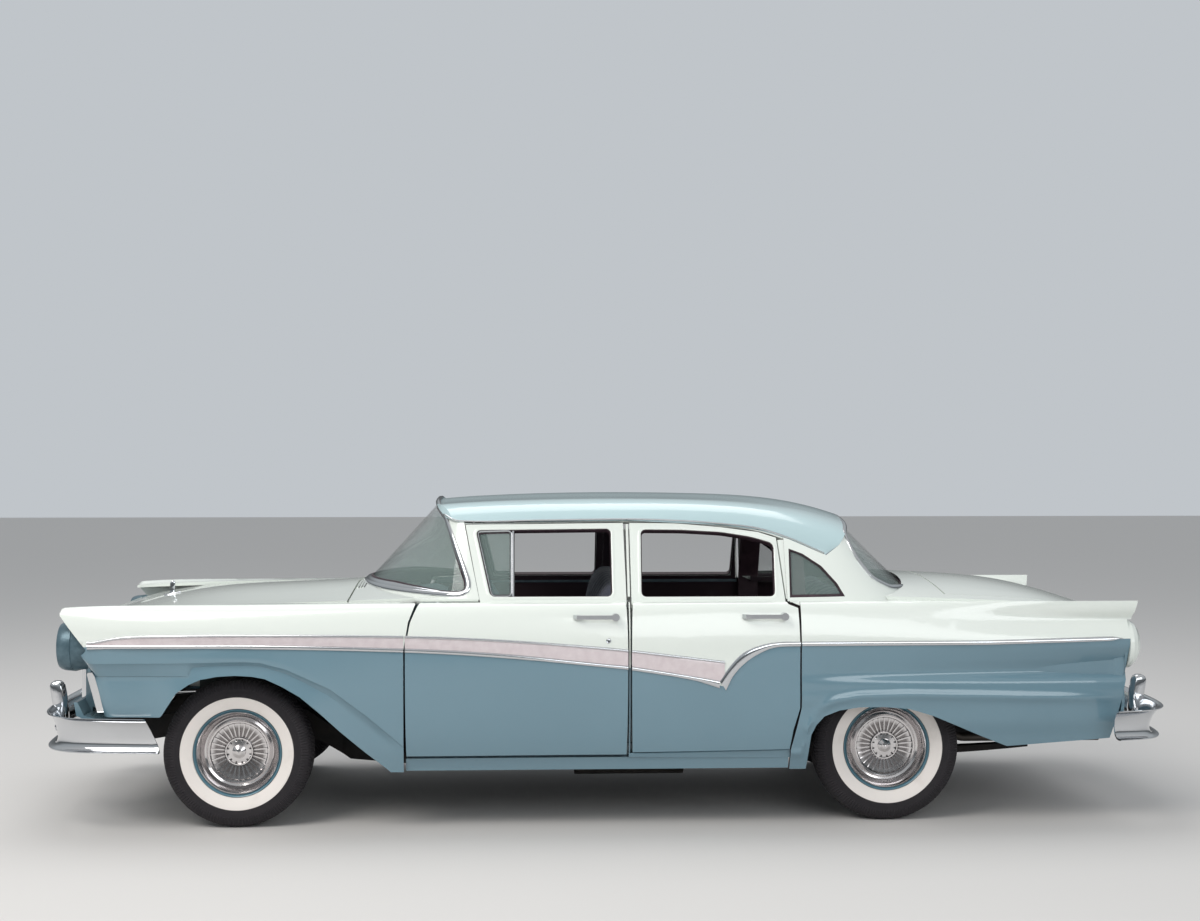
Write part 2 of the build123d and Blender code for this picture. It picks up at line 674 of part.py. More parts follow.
# Floor pan: firewall and toe board, cabin floor, rear seat step and trunk floor, cut out for the rear wheels
FLOOR_LINE = [(-1120, 980), (-1120, 560), (-960, FLOOR_Z), (800, FLOOR_Z), (900, 560), (1450, 560),
              (1560, 450), (2290, 450)]
TUNNELS = ((-1134, -620, 165, 540), (-630, 838, 70, 410))
WHEEL_HOUSE_PLAN = [(885, -1000), (885, -560), (1660, -560), (1660, -1000)]
with BuildPart() as floor_pan:
    add(bent_sheet(FLOOR_LINE, 14, 775, -775))
    for x0, x1, half_w, top in TUNNELS:
        with BuildSketch(Plane.YZ.offset(x0)):
            with BuildLine():
                Polyline((-half_w, 300), (-half_w, top), (half_w, top), (half_w, 300), close=True)
            make_face()
        extrude(amount=x1 - x0, mode=Mode.SUBTRACT)
        with BuildSketch(Plane.YZ.offset(x0)):
            with BuildLine():
                Polyline((-half_w, FLOOR_Z - 14), (-half_w, top), (half_w, top), (half_w, FLOOR_Z - 14),
                         (half_w - 10, FLOOR_Z - 14), (half_w - 10, top - 10), (10 - half_w, top - 10),
                         (10 - half_w, FLOOR_Z - 14), close=True)
            make_face()
        extrude(amount=x1 - x0)
    for side in (-1, 1):
        add(plan_prism([(x, -side * y) for x, y in WHEEL_HOUSE_PLAN], 300, 700), mode=Mode.SUBTRACT)
        add(plan_prism([(-1200, side * 560), (-1010, side * 700), (-1010, side * 900), (-1200, side * 900)],
                       300, 1000), mode=Mode.SUBTRACT)
floor_pan.part.label = "floor_pan"
export_step(floor_pan.part, "parts/floor_pan.step")

# Rear wheel houses and front inner fenders
with BuildPart() as wheel_houses:
    with BuildSketch(Plane.XZ.offset(560)):
        with Locations((REAR_AXLE_X, TYRE_R)):
            Circle(400)
            Circle(388, mode=Mode.SUBTRACT)
    extrude(amount=300)
    with BuildSketch(Plane.XZ.offset(548)):
        with Locations((REAR_AXLE_X, TYRE_R)):
            Circle(400)
    extrude(amount=12)
    add(prism([(700, 575), (1900, 575), (1900, 900), (700, 900)], -1000, 1000), mode=Mode.INTERSECT)
    add(SIDE_INNER, mode=Mode.INTERSECT)
    mirror(about=Plane.XZ)
wheel_houses.part.label = "wheel_houses"
export_step(wheel_houses.part, "parts/wheel_houses.step")

# Chassis frame: two side rails that rise over the axles, with cross members
RAIL_PLAN = [(-2330, -400), (-1250, -400), (-950, -560), (560, -560), (760, -470), (2300, -470), (2300, -400),
             (790, -400), (590, -490), (-920, -490), (-1220, -330), (-2330, -330)]
RAIL_SIDE = [(-2330, 330), (-2330, 430), (-1900, 470), (-1420, 470), (-1180, 312), (815, 312), (1022, 535),
             (1420, 535), (1560, 430), (2300, 430), (2300, 350), (1540, 350), (1400, 455), (1055, 455), (835, 240),
             (-1210, 240), (-1450, 380), (-1880, 380), (-2180, 330)]
CROSS_MEMBERS = ((-2290, 350, 60, 700), (-400, 240, 58, 1000), (560, 240, 58, 1000), (2200, 360, 60, 860))
with BuildPart() as chassis_frame:
    add(plan_prism(RAIL_PLAN, 200, 600))
    add(prism(RAIL_SIDE, -900, 0), mode=Mode.INTERSECT)
    mirror(about=Plane.XZ)
    for x, z, size, reach in CROSS_MEMBERS:
        with BuildSketch(Plane.XY.offset(z)):
            with Locations((x, 0)):
                Rectangle(size, reach)
        extrude(amount=size)
chassis_frame.part.label = "chassis_frame"
export_step(chassis_frame.part, "parts/chassis_frame.step")

# Nose panel between the fenders above the grille, and the valance below it
NOSE_BAR = [(-2360, 845), (-2440, 845), (-2452, 862), (-2440, 900), (-2400, 925), (-2400, 885), (-2360, 885)]
VALANCE = [(-2280, 470), (-2375, 500), (-2404, 560), (-2420, 560), (-2410, 500), (-2330, 458), (-2280, 458)]
LAMP_WALL = [(-2340, 705), (-2340, 905), (-2328, 905), (-2328, 705)]
LAMP_HOLE_R = 118
LAMP_LIP = [(-2340, 705), (-2358, 752), (-2362, 782), (-2350, 796), (-2340, 796)]
LOWER_WALL = [(-2320, 700), (-2272, 522), (-2260, 522), (-2308, 700)]
with BuildPart() as nose_panel:
    add(prism(NOSE_BAR, -640, 0))
    add(prism([(-2400, 500), (-2370, 500), (-2370, 850), (-2400, 850)], -612, -588))
    add(prism(VALANCE, -760, 0))
    add(prism(LAMP_WALL, -828, -592))
    add(prism(LAMP_LIP, -828, -655))
    add(prism(LOWER_WALL, -815, -592))
    add(prism([(-2400, 520), (-2262, 520), (-2262, 700), (-2330, 820), (-2400, 820)], -612, -600))
    with BuildSketch(Plane.YZ.offset(-2340)):
        with Locations((-HEADLAMP_Y, HEADLAMP_Z)):
            Circle(LAMP_HOLE_R)
    extrude(amount=-200, mode=Mode.SUBTRACT)
    mirror(about=Plane.XZ)
nose_panel.part.label = "nose_panel"
export_step(nose_panel.part, "parts/nose_panel.step")

# Parking lamps, slanted housings between grille and fender
PARKING_SIDE = [(-2352, 700), (-2320, 700), (-2272, 522), (-2304, 522)]
with BuildPart() as parking_lamps:
    add(prism(PARKING_SIDE, -815, -640))
    fillet(parking_lamps.edges().filter_by(Axis.Y).sort_by(Axis.X)[:2], 9)
    mirror(about=Plane.XZ)
parking_lamps.part.label = "parking_lamps"
export_step(parking_lamps.part, "parts/parking_lamps.step")

# Grille: a mesh of bars in the mouth between the headlamps
GRILLE_X = -2395
GRILLE_Z = (560, 840)
with BuildPart() as grille:
    with BuildSketch(Plane.YZ.offset(GRILLE_X)):
        with Locations((0, sum(GRILLE_Z) / 2)):
            Rectangle(1170, GRILLE_Z[1] - GRILLE_Z[0])
            Rectangle(1140, GRILLE_Z[1] - GRILLE_Z[0] - 30, mode=Mode.SUBTRACT)
            with GridLocations(60, 1, 19, 1):
                Rectangle(8, GRILLE_Z[1] - GRILLE_Z[0] - 20)
            with GridLocations(1, 62, 1, 4):
                Rectangle(1150, 10)
    extrude(amount=-30)
grille.part.label = "grille"
export_step(grille.part, "parts/grille.step")

# Headlamps: a bezel, a bowl and a domed lens on each side
LENS_X = -2492
LENS_R = 150
LENS_HALF = math.asin(72 / LENS_R)
with BuildPart() as headlamps:
    with BuildSketch(Plane.XZ.offset(HEADLAMP_Y)):
        with BuildLine():
            Polyline((-2340, HEADLAMP_Z), (-2340, HEADLAMP_Z + 60), (-2376, HEADLAMP_Z + 84),
                     (-2404, HEADLAMP_Z + 112))
            Spline((-2404, HEADLAMP_Z + 112), (-2430, HEADLAMP_Z + 114), (-2464, HEADLAMP_Z + 105),
                   (-2488, HEADLAMP_Z + 90), (-2499, HEADLAMP_Z + 78))
            Line((-2499, HEADLAMP_Z + 78),
                 (LENS_X + LENS_R * (1 - math.cos(LENS_HALF)), HEADLAMP_Z + LENS_R * math.sin(LENS_HALF)))
            CenterArc((LENS_X + LENS_R, HEADLAMP_Z), LENS_R, 180 - math.degrees(LENS_HALF),
                      math.degrees(LENS_HALF))
            Line((LENS_X, HEADLAMP_Z), (-2340, HEADLAMP_Z))
        make_face()
    revolve(axis=Axis((0, -HEADLAMP_Y, HEADLAMP_Z), (1, 0, 0)))
    mirror(about=Plane.XZ)
headlamps.part.label = "headlamps"
export_step(headlamps.part, "parts/headlamps.step")

# Tail pods: a rounded housing behind each quarter panel, with the lamp in its middle
POD_X = 2364
POD_SECTION = [(0, 113), (20, 111), (40, 99), (54, 80), (62, 66), (58, 60), (0, 60)]
LAMP_SECTION = [(0, 0), (0, 60), (46, 60), (54, 52), (58, 30), (64, 22), (72, 20), (78, 12), (78, 0)]


def pod_ring(section: list) -> Part:
    """A piece revolved about the left tail pod's axis, from its (x beyond POD_X, radius) section, and its twin."""
    with BuildPart() as ring:
        with BuildSketch(Plane.XZ.offset(TAILLAMP_Y)):
            with BuildLine():
                Polyline(*[(POD_X + x, TAILLAMP_Z + r) for x, r in section], close=True)
            make_face()
        revolve(axis=Axis((0, -TAILLAMP_Y, TAILLAMP_Z), (1, 0, 0)))
        mirror(about=Plane.XZ)
    return ring.part


with BuildPart() as tail_pods:
    add(pod_ring(POD_SECTION))
tail_pods.part.label = "tail_pods"
export_step(tail_pods.part, "parts/tail_pods.step")

with BuildPart() as taillamps:
    add(pod_ring(LAMP_SECTION))
taillamps.part.label = "taillamps"
export_step(taillamps.part, "parts/taillamps.step")

# Bumpers: a face bar bent round the corners, with two guards
BUMPER_SECTION = [(22, 350), (0, 358), (-6, 380), (0, 440), (20, 500), (42, 512), (42, 502), (30, 494),
                  (12, 438), (7, 382), (24, 360)]


def bumper(path: list, section: list, sign: int) -> Part:
    """A face bar swept along one half of a plan path of (x, y) and mirrored, its section in (inward, z)."""
    with BuildPart() as bar:
        with BuildLine() as run:
            FilletPolyline(*[(x, -y, 0) for x, y in path], radius=110)
        with BuildSketch(Plane((path[0][0], 0, 0), x_dir=(1, 0, 0), z_dir=(0, -1, 0))):
            with BuildLine():
                Polyline(*[(sign * x, z) for x, z in section], close=True)
            make_face()
        sweep(path=run.line, transition=Transition.ROUND)
        mirror(about=Plane.XZ)
    return bar.part


GUARD_SIDE = [(0, 356), (-22, 380), (-26, 450), (-10, 600), (12, 622), (44, 600), (24, 470), (10, 380)]
with BuildPart() as front_bumper:
    add(bumper([(-2545, 0), (-2530, 560), (-2440, 850), (-1980, 925)], BUMPER_SECTION, 1))
    for end in (-1, 1):
        add(prism([(-2070, 340), (-1998, 520), (-1900, 520), (-1900, 340)], end * 1000, end * 800),
            mode=Mode.SUBTRACT)
    for y in (-470, 470):
        add(prism([(-2528 + x, z) for x, z in GUARD_SIDE], y - 32, y + 32))
        inboard = -math.copysign(1, y)
        add(prism([(-2524, 400), (-2300, 400), (-2300, 370), (-2524, 375)], y + 68 * inboard, y + 32 * inboard))
front_bumper.part.label = "front_bumper"
export_step(front_bumper.part, "parts/front_bumper.step")

with BuildPart() as rear_bumper:
    add(bumper([(2538, 0), (2525, 560), (2440, 900), (2266, 958)], BUMPER_SECTION, -1))
    for y in (-470, 470):
        add(prism([(2522 - x, z) for x, z in GUARD_SIDE], y - 32, y + 32))
        outboard = math.copysign(1, y)
        add(prism([(2518, 400), (2260, 400), (2260, 370), (2518, 375)], y + 2 * outboard, y + 36 * outboard))
rear_bumper.part.label = "rear_bumper"
export_step(rear_bumper.part, "parts/rear_bumper.step")

# Tyres and wheels
TYRE_SECTION = [(60, BEAD_R), (64, 202), (88, 232), (95, 262), (89, 300), (70, 327), (60, TYRE_R)]


def tyre(x: float, y: float) -> Part:
    """One tyre, revolved about its axle."""
    with BuildPart() as ring:
        with BuildSketch(Plane.YZ.offset(x)):
            with BuildLine():
                Spline(*[(y + w, TYRE_R + r) for w, r in TYRE_SECTION[:-1]])
                Line((y + 70, TYRE_R + 327), (y + 60, 2 * TYRE_R))
                Line((y + 60, 2 * TYRE_R), (y - 60, 2 * TYRE_R))
                Line((y - 60, 2 * TYRE_R), (y - 70, TYRE_R + 327))
                Spline(*[(y - w, TYRE_R + r) for w, r in reversed(TYRE_SECTION[:-1])])
                Line((y - 60, TYRE_R + BEAD_R), (y + 60, TYRE_R + BEAD_R))
            make_face()
        revolve(axis=Axis((x, 0, TYRE_R), (0, 1, 0)))
    return ring.part


# The wheel's section, from hub bore to rim and back, as (inboard, radius): cap, hub plate, vane bed and dished ring
WHEEL_SECTION = [
    (-8, 17.3), (-8, 8), (-44, 0), (-42, 14), (-34, 29), (-22, 31), (-20, 54), (-26, 57), (-26, 62), (-16, 65),
    (-12, 70), (-20, 126), (-30, 131), (-31, 137), (-14, 142), (-20, 156), (-46, 172), (-66, 180), (-71, 184),
    (-66, 187), (-62, 187), (-72, 193), (-75, 197), (-66, 197), (-62, BEAD_R), (62, BEAD_R), (66, 196), (75, 196),
    (70, 180), (30, 170), (12, 150), (8, 120), (26, 60), (36, 50), (36, 17.3),
]
VANES = 30
VANE_W = 6
VANE_SECTION = [(-8, 66), (-18, 66), (-28, 128), (-16, 128)]


def wheel(x: float, y: float, out: int) -> Part:
    """One wheel with its vaned cover and hub bore, revolved about its axle; out is the side it faces."""
    with BuildPart() as vane:
        with BuildSketch(Plane((x - VANE_W / 2, y, TYRE_R), x_dir=(0, -out, 0), z_dir=(1, 0, 0))):
            with BuildLine():
                Polyline(*[(w, out * -r) for w, r in VANE_SECTION], close=True)
            make_face()
        extrude(amount=VANE_W)
    with BuildPart() as disc:
        with BuildSketch(Plane.YZ.offset(x)):
            with BuildLine():
                Polyline(*[(y - out * w, TYRE_R + r) for w, r in WHEEL_SECTION], close=True)
            make_face()
        revolve(axis=Axis((x, 0, TYRE_R), (0, 1, 0)))
        for i in range(VANES):
            add(vane.part.rotate(Axis((x, 0, TYRE_R), (0, 1, 0)), 360 * i / VANES))
    return disc.part


WHEEL_PLACES = (
    ("front_left", FRONT_AXLE_X, -FRONT_HALF_TRACK, -1),
    ("front_right", FRONT_AXLE_X, FRONT_HALF_TRACK, 1),
    ("rear_left", REAR_AXLE_X, -REAR_HALF_TRACK, -1),
    ("rear_right", REAR_AXLE_X, REAR_HALF_TRACK, 1),
)
for place, x, y, out in WHEEL_PLACES:
    with BuildPart() as tyre_part:
        add(tyre(x, y))
    tyre_part.part.label = "tyre_" + place
    export_step(tyre_part.part, "parts/tyre_" + place + ".step")
    with BuildPart() as wheel_part:
        add(wheel(x, y, out))
    wheel_part.part.label = "wheel_" + place
    export_step(wheel_part.part, "parts/wheel_" + place + ".step")

# Steering knuckles: kingpin, spindle and brake backing plate
with BuildPart() as knuckle_left:
    with BuildSketch(Plane.XY.offset(262)):
        with Locations((FRONT_AXLE_X, -KINGPIN_Y)):
            Circle(20)
    extrude(amount=146)
    with BuildSketch(Plane((FRONT_AXLE_X, -KINGPIN_Y - 34, TYRE_R), x_dir=(1, 0, 0), z_dir=(0, -1, 0))):
        Circle(130)
    extrude(amount=8)
    with BuildSketch(Plane((FRONT_AXLE_X, -KINGPIN_Y, TYRE_R), x_dir=(1, 0, 0), z_dir=(0, -1, 0))):
        Circle(SPINDLE_R)
    extrude(amount=88)
    with BuildSketch(Plane.XY.offset(318)):
        with Locations((FRONT_AXLE_X + 70, -KINGPIN_Y + 20)):
            Rectangle(150, 26)
    extrude(amount=16)
knuckle_left.part.label = "knuckle_left"
export_step(knuckle_left.part, "parts/knuckle_left.step")

with BuildPart() as knuckle_right:
    mirror(knuckle_left.part, about=Plane.XZ)
knuckle_right.part.label = "knuckle_right"
export_step(knuckle_right.part, "parts/knuckle_right.step")

# Front suspension: wishbones above and below the kingpins, coil springs and the cross member
with BuildPart() as front_suspension:
    with BuildSketch(Plane.XY.offset(228)):
        with BuildLine():
            Polyline((FRONT_AXLE_X - 130, -330), (FRONT_AXLE_X - 25, -660), (FRONT_AXLE_X + 25, -660),
                     (FRONT_AXLE_X + 130, -330), close=True)
        make_face()
    extrude(amount=26)
    with BuildSketch(Plane.XY.offset(416)):
        with BuildLine():
            Polyline((FRONT_AXLE_X - 90, -405), (FRONT_AXLE_X - 22, -660), (FRONT_AXLE_X + 22, -660),
                     (FRONT_AXLE_X + 90, -405), close=True)
        make_face()
    extrude(amount=22)
    with BuildSketch(Plane.XY.offset(254)):
        with Locations((FRONT_AXLE_X, -470)):
            Circle(60)
            Circle(48, mode=Mode.SUBTRACT)
    extrude(amount=162)
    mirror(about=Plane.XZ)
    with BuildSketch(Plane.XY.offset(228)):
        with Locations((FRONT_AXLE_X, 0)):
            Rectangle(160, 700)
    extrude(amount=60)
front_suspension.part.label = "front_suspension"
export_step(front_suspension.part, "parts/front_suspension.step")

# Rear axle: tube, differential and propeller shaft
with BuildPart() as rear_axle:
    with BuildSketch(Plane((REAR_AXLE_X, -640, TYRE_R), x_dir=(1, 0, 0), z_dir=(0, 1, 0))):
        Circle(38)
    extrude(amount=1280)
    with BuildSketch(Plane((REAR_AXLE_X, -REAR_HALF_TRACK + 10, TYRE_R), x_dir=(1, 0, 0), z_dir=(0, 1, 0))):
        Circle(SPINDLE_R)
    extrude(amount=2 * REAR_HALF_TRACK - 20)
    for y in (-632, 624):
        with BuildSketch(Plane((REAR_AXLE_X, y, TYRE_R), x_dir=(1, 0, 0), z_dir=(0, 1, 0))):
            Circle(130)
        extrude(amount=8)
    with Locations((REAR_AXLE_X, 0, TYRE_R)):
        Sphere(125)
    with BuildSketch(Plane.YZ.offset(REAR_AXLE_X - 200)):
        with Locations((0, TYRE_R)):
            Circle(60)
    extrude(amount=150)
    with BuildSketch(Plane.YZ.offset(-640)):
        with Locations((0, TYRE_R)):
            Circle(32)
    extrude(amount=REAR_AXLE_X - 200 + 640)
rear_axle.part.label = "rear_axle"
export_step(rear_axle.part, "parts/rear_axle.step")

# Leaf springs under the rear axle
with BuildPart() as leaf_springs:
    with BuildSketch(Plane.XZ.offset(532)):
        with BuildLine():
            ThreePointArc((640, 280), (REAR_AXLE_X, 262), (1980, 300))
            Line((1980, 300), (1980, 322))
            ThreePointArc((1980, 322), (REAR_AXLE_X, 296), (640, 302))
            Line((640, 302), (640, 280))
        make_face()
    extrude(amount=56)
    mirror(about=Plane.XZ)
leaf_springs.part.label = "leaf_springs"
export_step(leaf_springs.part, "parts/leaf_springs.step")

# Engine and gearbox as one plain block
with BuildPart() as engine:
    with BuildSketch(Plane.XY.offset(330)):
        with Locations((-1570, 0)):
            Rectangle(740, 560)
    extrude(amount=540)
    with BuildSketch(Plane.YZ.offset(-1205)):
        with Locations((0, 400)):
            Rectangle(270, 220)
    extrude(amount=560)
engine.part.label = "engine"
export_step(engine.part, "parts/engine.step")

# Radiator ahead of the engine
with BuildPart() as radiator:
    with BuildSketch(Plane.YZ.offset(-2220)):
        with Locations((0, 650)):
            Rectangle(620, 440)
    extrude(amount=60)
radiator.part.label = "radiator"
export_step(radiator.part, "parts/radiator.step")

# Exhaust pipe with its muffler
with BuildPart() as exhaust:
    with BuildLine() as pipe:
        FilletPolyline((-1100, -300, 260), (-300, -300, 200), (730, -300, 200), (990, -300, 415),
                       (1440, -300, 415), (1720, -330, 270), (2400, -330, 270), radius=80)
    with BuildSketch(Plane(pipe.line @ 0, z_dir=pipe.line % 0)):
        Circle(24)
    sweep(path=pipe.line)
    with BuildSketch(Plane.YZ.offset(-150)):
        with Locations((-300, 200)):
            Ellipse(105, 60)
    extrude(amount=520)
exhaust.part.label = "exhaust"
export_step(exhaust.part, "parts/exhaust.step")

# Fuel tank under the trunk floor
with BuildPart() as fuel_tank:
    with BuildSketch(Plane.XY.offset(300)):
        with Locations((1900, 60)):
            RectangleRounded(460, 560, 60)
    extrude(amount=130)
fuel_tank.part.label = "fuel_tank"
export_step(fuel_tank.part, "parts/fuel_tank.step")

# Seats
FRONT_SEAT_SIDE = [(-560, 480), (-560, 640), (-120, 600), (-10, 1075), (60, 1110), (130, 1090), (60, 480)]
with BuildPart() as front_seat:
    add(prism(FRONT_SEAT_SIDE, -690, 690))
front_seat.part.label = "front_seat"
export_step(front_seat.part, "parts/front_seat.step")

REAR_SEAT_SIDE = [(480, 480), (470, 640), (920, 600), (1060, 1035), (1130, 1060), (1190, 1035), (1100, 590),
                  (890, 590), (800, 480)]
with BuildPart() as rear_seat:
    add(prism(REAR_SEAT_SIDE, -545, 545))
rear_seat.part.label = "rear_seat"
export_step(rear_seat.part, "parts/rear_seat.step")

# Dashboard with the steering column
DASH_SIDE = [(-1040, 960), (-1000, 984), (-850, 988), (-790, 965), (-800, 880), (-850, 810), (-900, 810),
             (-900, 920), (-1040, 940)]
STEER_CENTRE = (-480, -370, 925)
STEER_AXIS = (0.86, 0, 0.51)
with BuildPart() as dashboard:
    add(prism(DASH_SIDE, -740, 740))
    add(greenhouse(FRAME_THICK + 8, 700, 1100), mode=Mode.INTERSECT)
    with BuildSketch(Plane((-1050, -370, 587), z_dir=STEER_AXIS)):
        Circle(28)
    extrude(amount=630)
dashboard.part.label = "dashboard"
export_step(dashboard.part, "parts/dashboard.step")

# Steering wheel: rim, two spokes, hub and horn button
with BuildPart() as steering_wheel:
    with BuildSketch(Plane(STEER_CENTRE, x_dir=(0, 1, 0), z_dir=STEER_AXIS)) as hub:
        Circle(40)
    extrude(amount=30, both=True)
    with BuildSketch(Plane(STEER_CENTRE, x_dir=(0, 1, 0), z_dir=STEER_AXIS)):
        Rectangle(400, 30)
    extrude(amount=7, both=True)
    with Locations(Plane(STEER_CENTRE, z_dir=STEER_AXIS)):
        Torus(205, 12)
steering_wheel.part.label = "steering_wheel"
export_step(steering_wheel.part, "parts/steering_wheel.step")
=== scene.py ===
"""A 1950s four-door sedan: paint, chrome, glass, trim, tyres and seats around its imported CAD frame."""

import logging
import math
from dataclasses import dataclass
from enum import Enum
from typing import NamedTuple, Sequence

import bmesh
import bpy
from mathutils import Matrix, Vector
from mathutils.bvhtree import BVHTree
from mathutils.geometry import interpolate_bezier


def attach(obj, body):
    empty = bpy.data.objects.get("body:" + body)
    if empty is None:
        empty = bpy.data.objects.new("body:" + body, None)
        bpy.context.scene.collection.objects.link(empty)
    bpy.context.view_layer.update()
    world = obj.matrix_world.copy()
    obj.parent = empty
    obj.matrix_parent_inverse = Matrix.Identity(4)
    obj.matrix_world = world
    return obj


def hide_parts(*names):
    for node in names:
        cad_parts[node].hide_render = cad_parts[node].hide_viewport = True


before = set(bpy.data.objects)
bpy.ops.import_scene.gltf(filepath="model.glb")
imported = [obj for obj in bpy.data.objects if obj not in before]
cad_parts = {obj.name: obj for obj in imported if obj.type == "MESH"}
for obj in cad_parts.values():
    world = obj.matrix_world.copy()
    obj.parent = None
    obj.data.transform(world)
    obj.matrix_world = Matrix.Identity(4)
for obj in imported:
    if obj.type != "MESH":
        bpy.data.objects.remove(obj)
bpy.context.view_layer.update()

LOG = logging.getLogger("sedan")
Colour = tuple[float, float, float]
Pair = tuple[float, float]
Triple = tuple[float, float, float]
Edge = tuple[Sequence[Vector], Sequence[Vector]]
MERGE = 1e-5
BACKWARD = Vector((1, 0, 0))
UPWARD = Vector((0, 0, 1))


class Slot(Enum):
    """The material slots that the looks name."""

    PAINT_BLUE = "paint_blue"
    PAINT_WHITE = "paint_white"
    GLASS = "glass"
    CHROME = "chrome"
    UNDERBODY = "underbody"
    EXHAUST_STEEL = "exhaust_steel"
    UPHOLSTERY = "upholstery"
    DASH_PLASTIC = "dash_plastic"
    TYRE = "tyre"


class Look(NamedTuple):
    """A material and the slot that goes with it."""

    material: bpy.types.Material
    slot: Slot


def rgb(code: str) -> Colour:
    """Turns a hex colour such as 7fa3a8 into linear red, green and blue."""
    parts = [int(code[i : i + 2], 16) / 255 for i in (0, 2, 4)]
    return tuple(p / 12.92 if p <= 0.04045 else ((p + 0.055) / 1.055) ** 2.4 for p in parts)


def shaded(colour: Colour, share: float) -> Colour:
    """Makes a colour darker or lighter, up to full white."""
    return tuple(min(1.0, c * share) for c in colour)


def mm(*points: tuple[float, ...]) -> tuple[tuple[float, ...], ...]:
    """Turns a table of points from millimetres into metres."""
    return tuple(tuple(value / 1000 for value in point) for point in points)


def held(value: float) -> float:
    """Holds a value between 0 and 1."""
    return min(1.0, max(0.0, value))


def even(start: float, span: float, count: int) -> list[float]:
    """Divides a span into equal steps and gives their count + 1 ends."""
    return [start + span * i / count for i in range(count + 1)]


class Sock:
    """A node socket that can be used in arithmetic."""

    def __init__(self, tree: bpy.types.NodeTree, socket: bpy.types.NodeSocket) -> None:
        """Keeps the tree and the socket."""
        self.tree = tree
        self.socket = socket

    def math(self, operation: str, *others: "float | Sock", clamp: bool = False) -> "Sock":
        """Adds one Math node whose first input is this socket.

        Args:
            operation: The Math node's operation.
            others: The other inputs, numbers or sockets.
            clamp: Whether the result is held between 0 and 1.

        Returns:
            The node's output.
        """
        node = self.tree.nodes.new("ShaderNodeMath")
        node.operation = operation
        node.use_clamp = clamp
        for target, value in zip(node.inputs, (self, *others)):
            if isinstance(value, Sock):
                self.tree.links.new(value.socket, target)
            else:
                target.default_value = value
        return Sock(self.tree, node.outputs[0])

    def __add__(self, other: "float | Sock") -> "Sock":
        """Adds."""
        return self.math("ADD", other)

    __radd__ = __add__

    def __sub__(self, other: "float | Sock") -> "Sock":
        """Subtracts."""
        return self.math("SUBTRACT", other)

    def __rsub__(self, other: float) -> "Sock":
        """Subtracts this socket from a number."""
        return self.math("MULTIPLY", -1.0).math("ADD", other)

    def __mul__(self, other: "float | Sock") -> "Sock":
        """Multiplies."""
        return self.math("MULTIPLY", other)

    __rmul__ = __mul__

    def __truediv__(self, other: "float | Sock") -> "Sock":
        """Divides."""
        return self.math("DIVIDE", other)

    def held(self, factor: float = 1.0) -> "Sock":
        """Multiplies and holds the result between 0 and 1."""
        return self.math("MULTIPLY", factor, clamp=True)

    def hypot(self, other: "Sock") -> "Sock":
        """The length of the two legs' hypotenuse."""
        return (self * self + other * other).math("SQRT")

    def band(self, low: float, high: float, soft: float) -> "Sock":
        """Gives 1 between low and high, and 0 outside, with soft edges."""
        return ((self - (low - soft)) / (2 * soft)).held() * (((high + soft) - self) / (2 * soft)).held()

    def stripes(self, low: float, high: float, soft: float) -> "Sock":
        """Gives a soft band between low and high in each whole step of this socket."""
        return self.math("FRACT").band(low, high, soft)

    def over(self, other: "float | Sock", soft: float) -> "Sock":
        """Gives 1 where this socket is above another, with a soft edge."""
        return ((self - other) / (2 * soft) + 0.5).held()


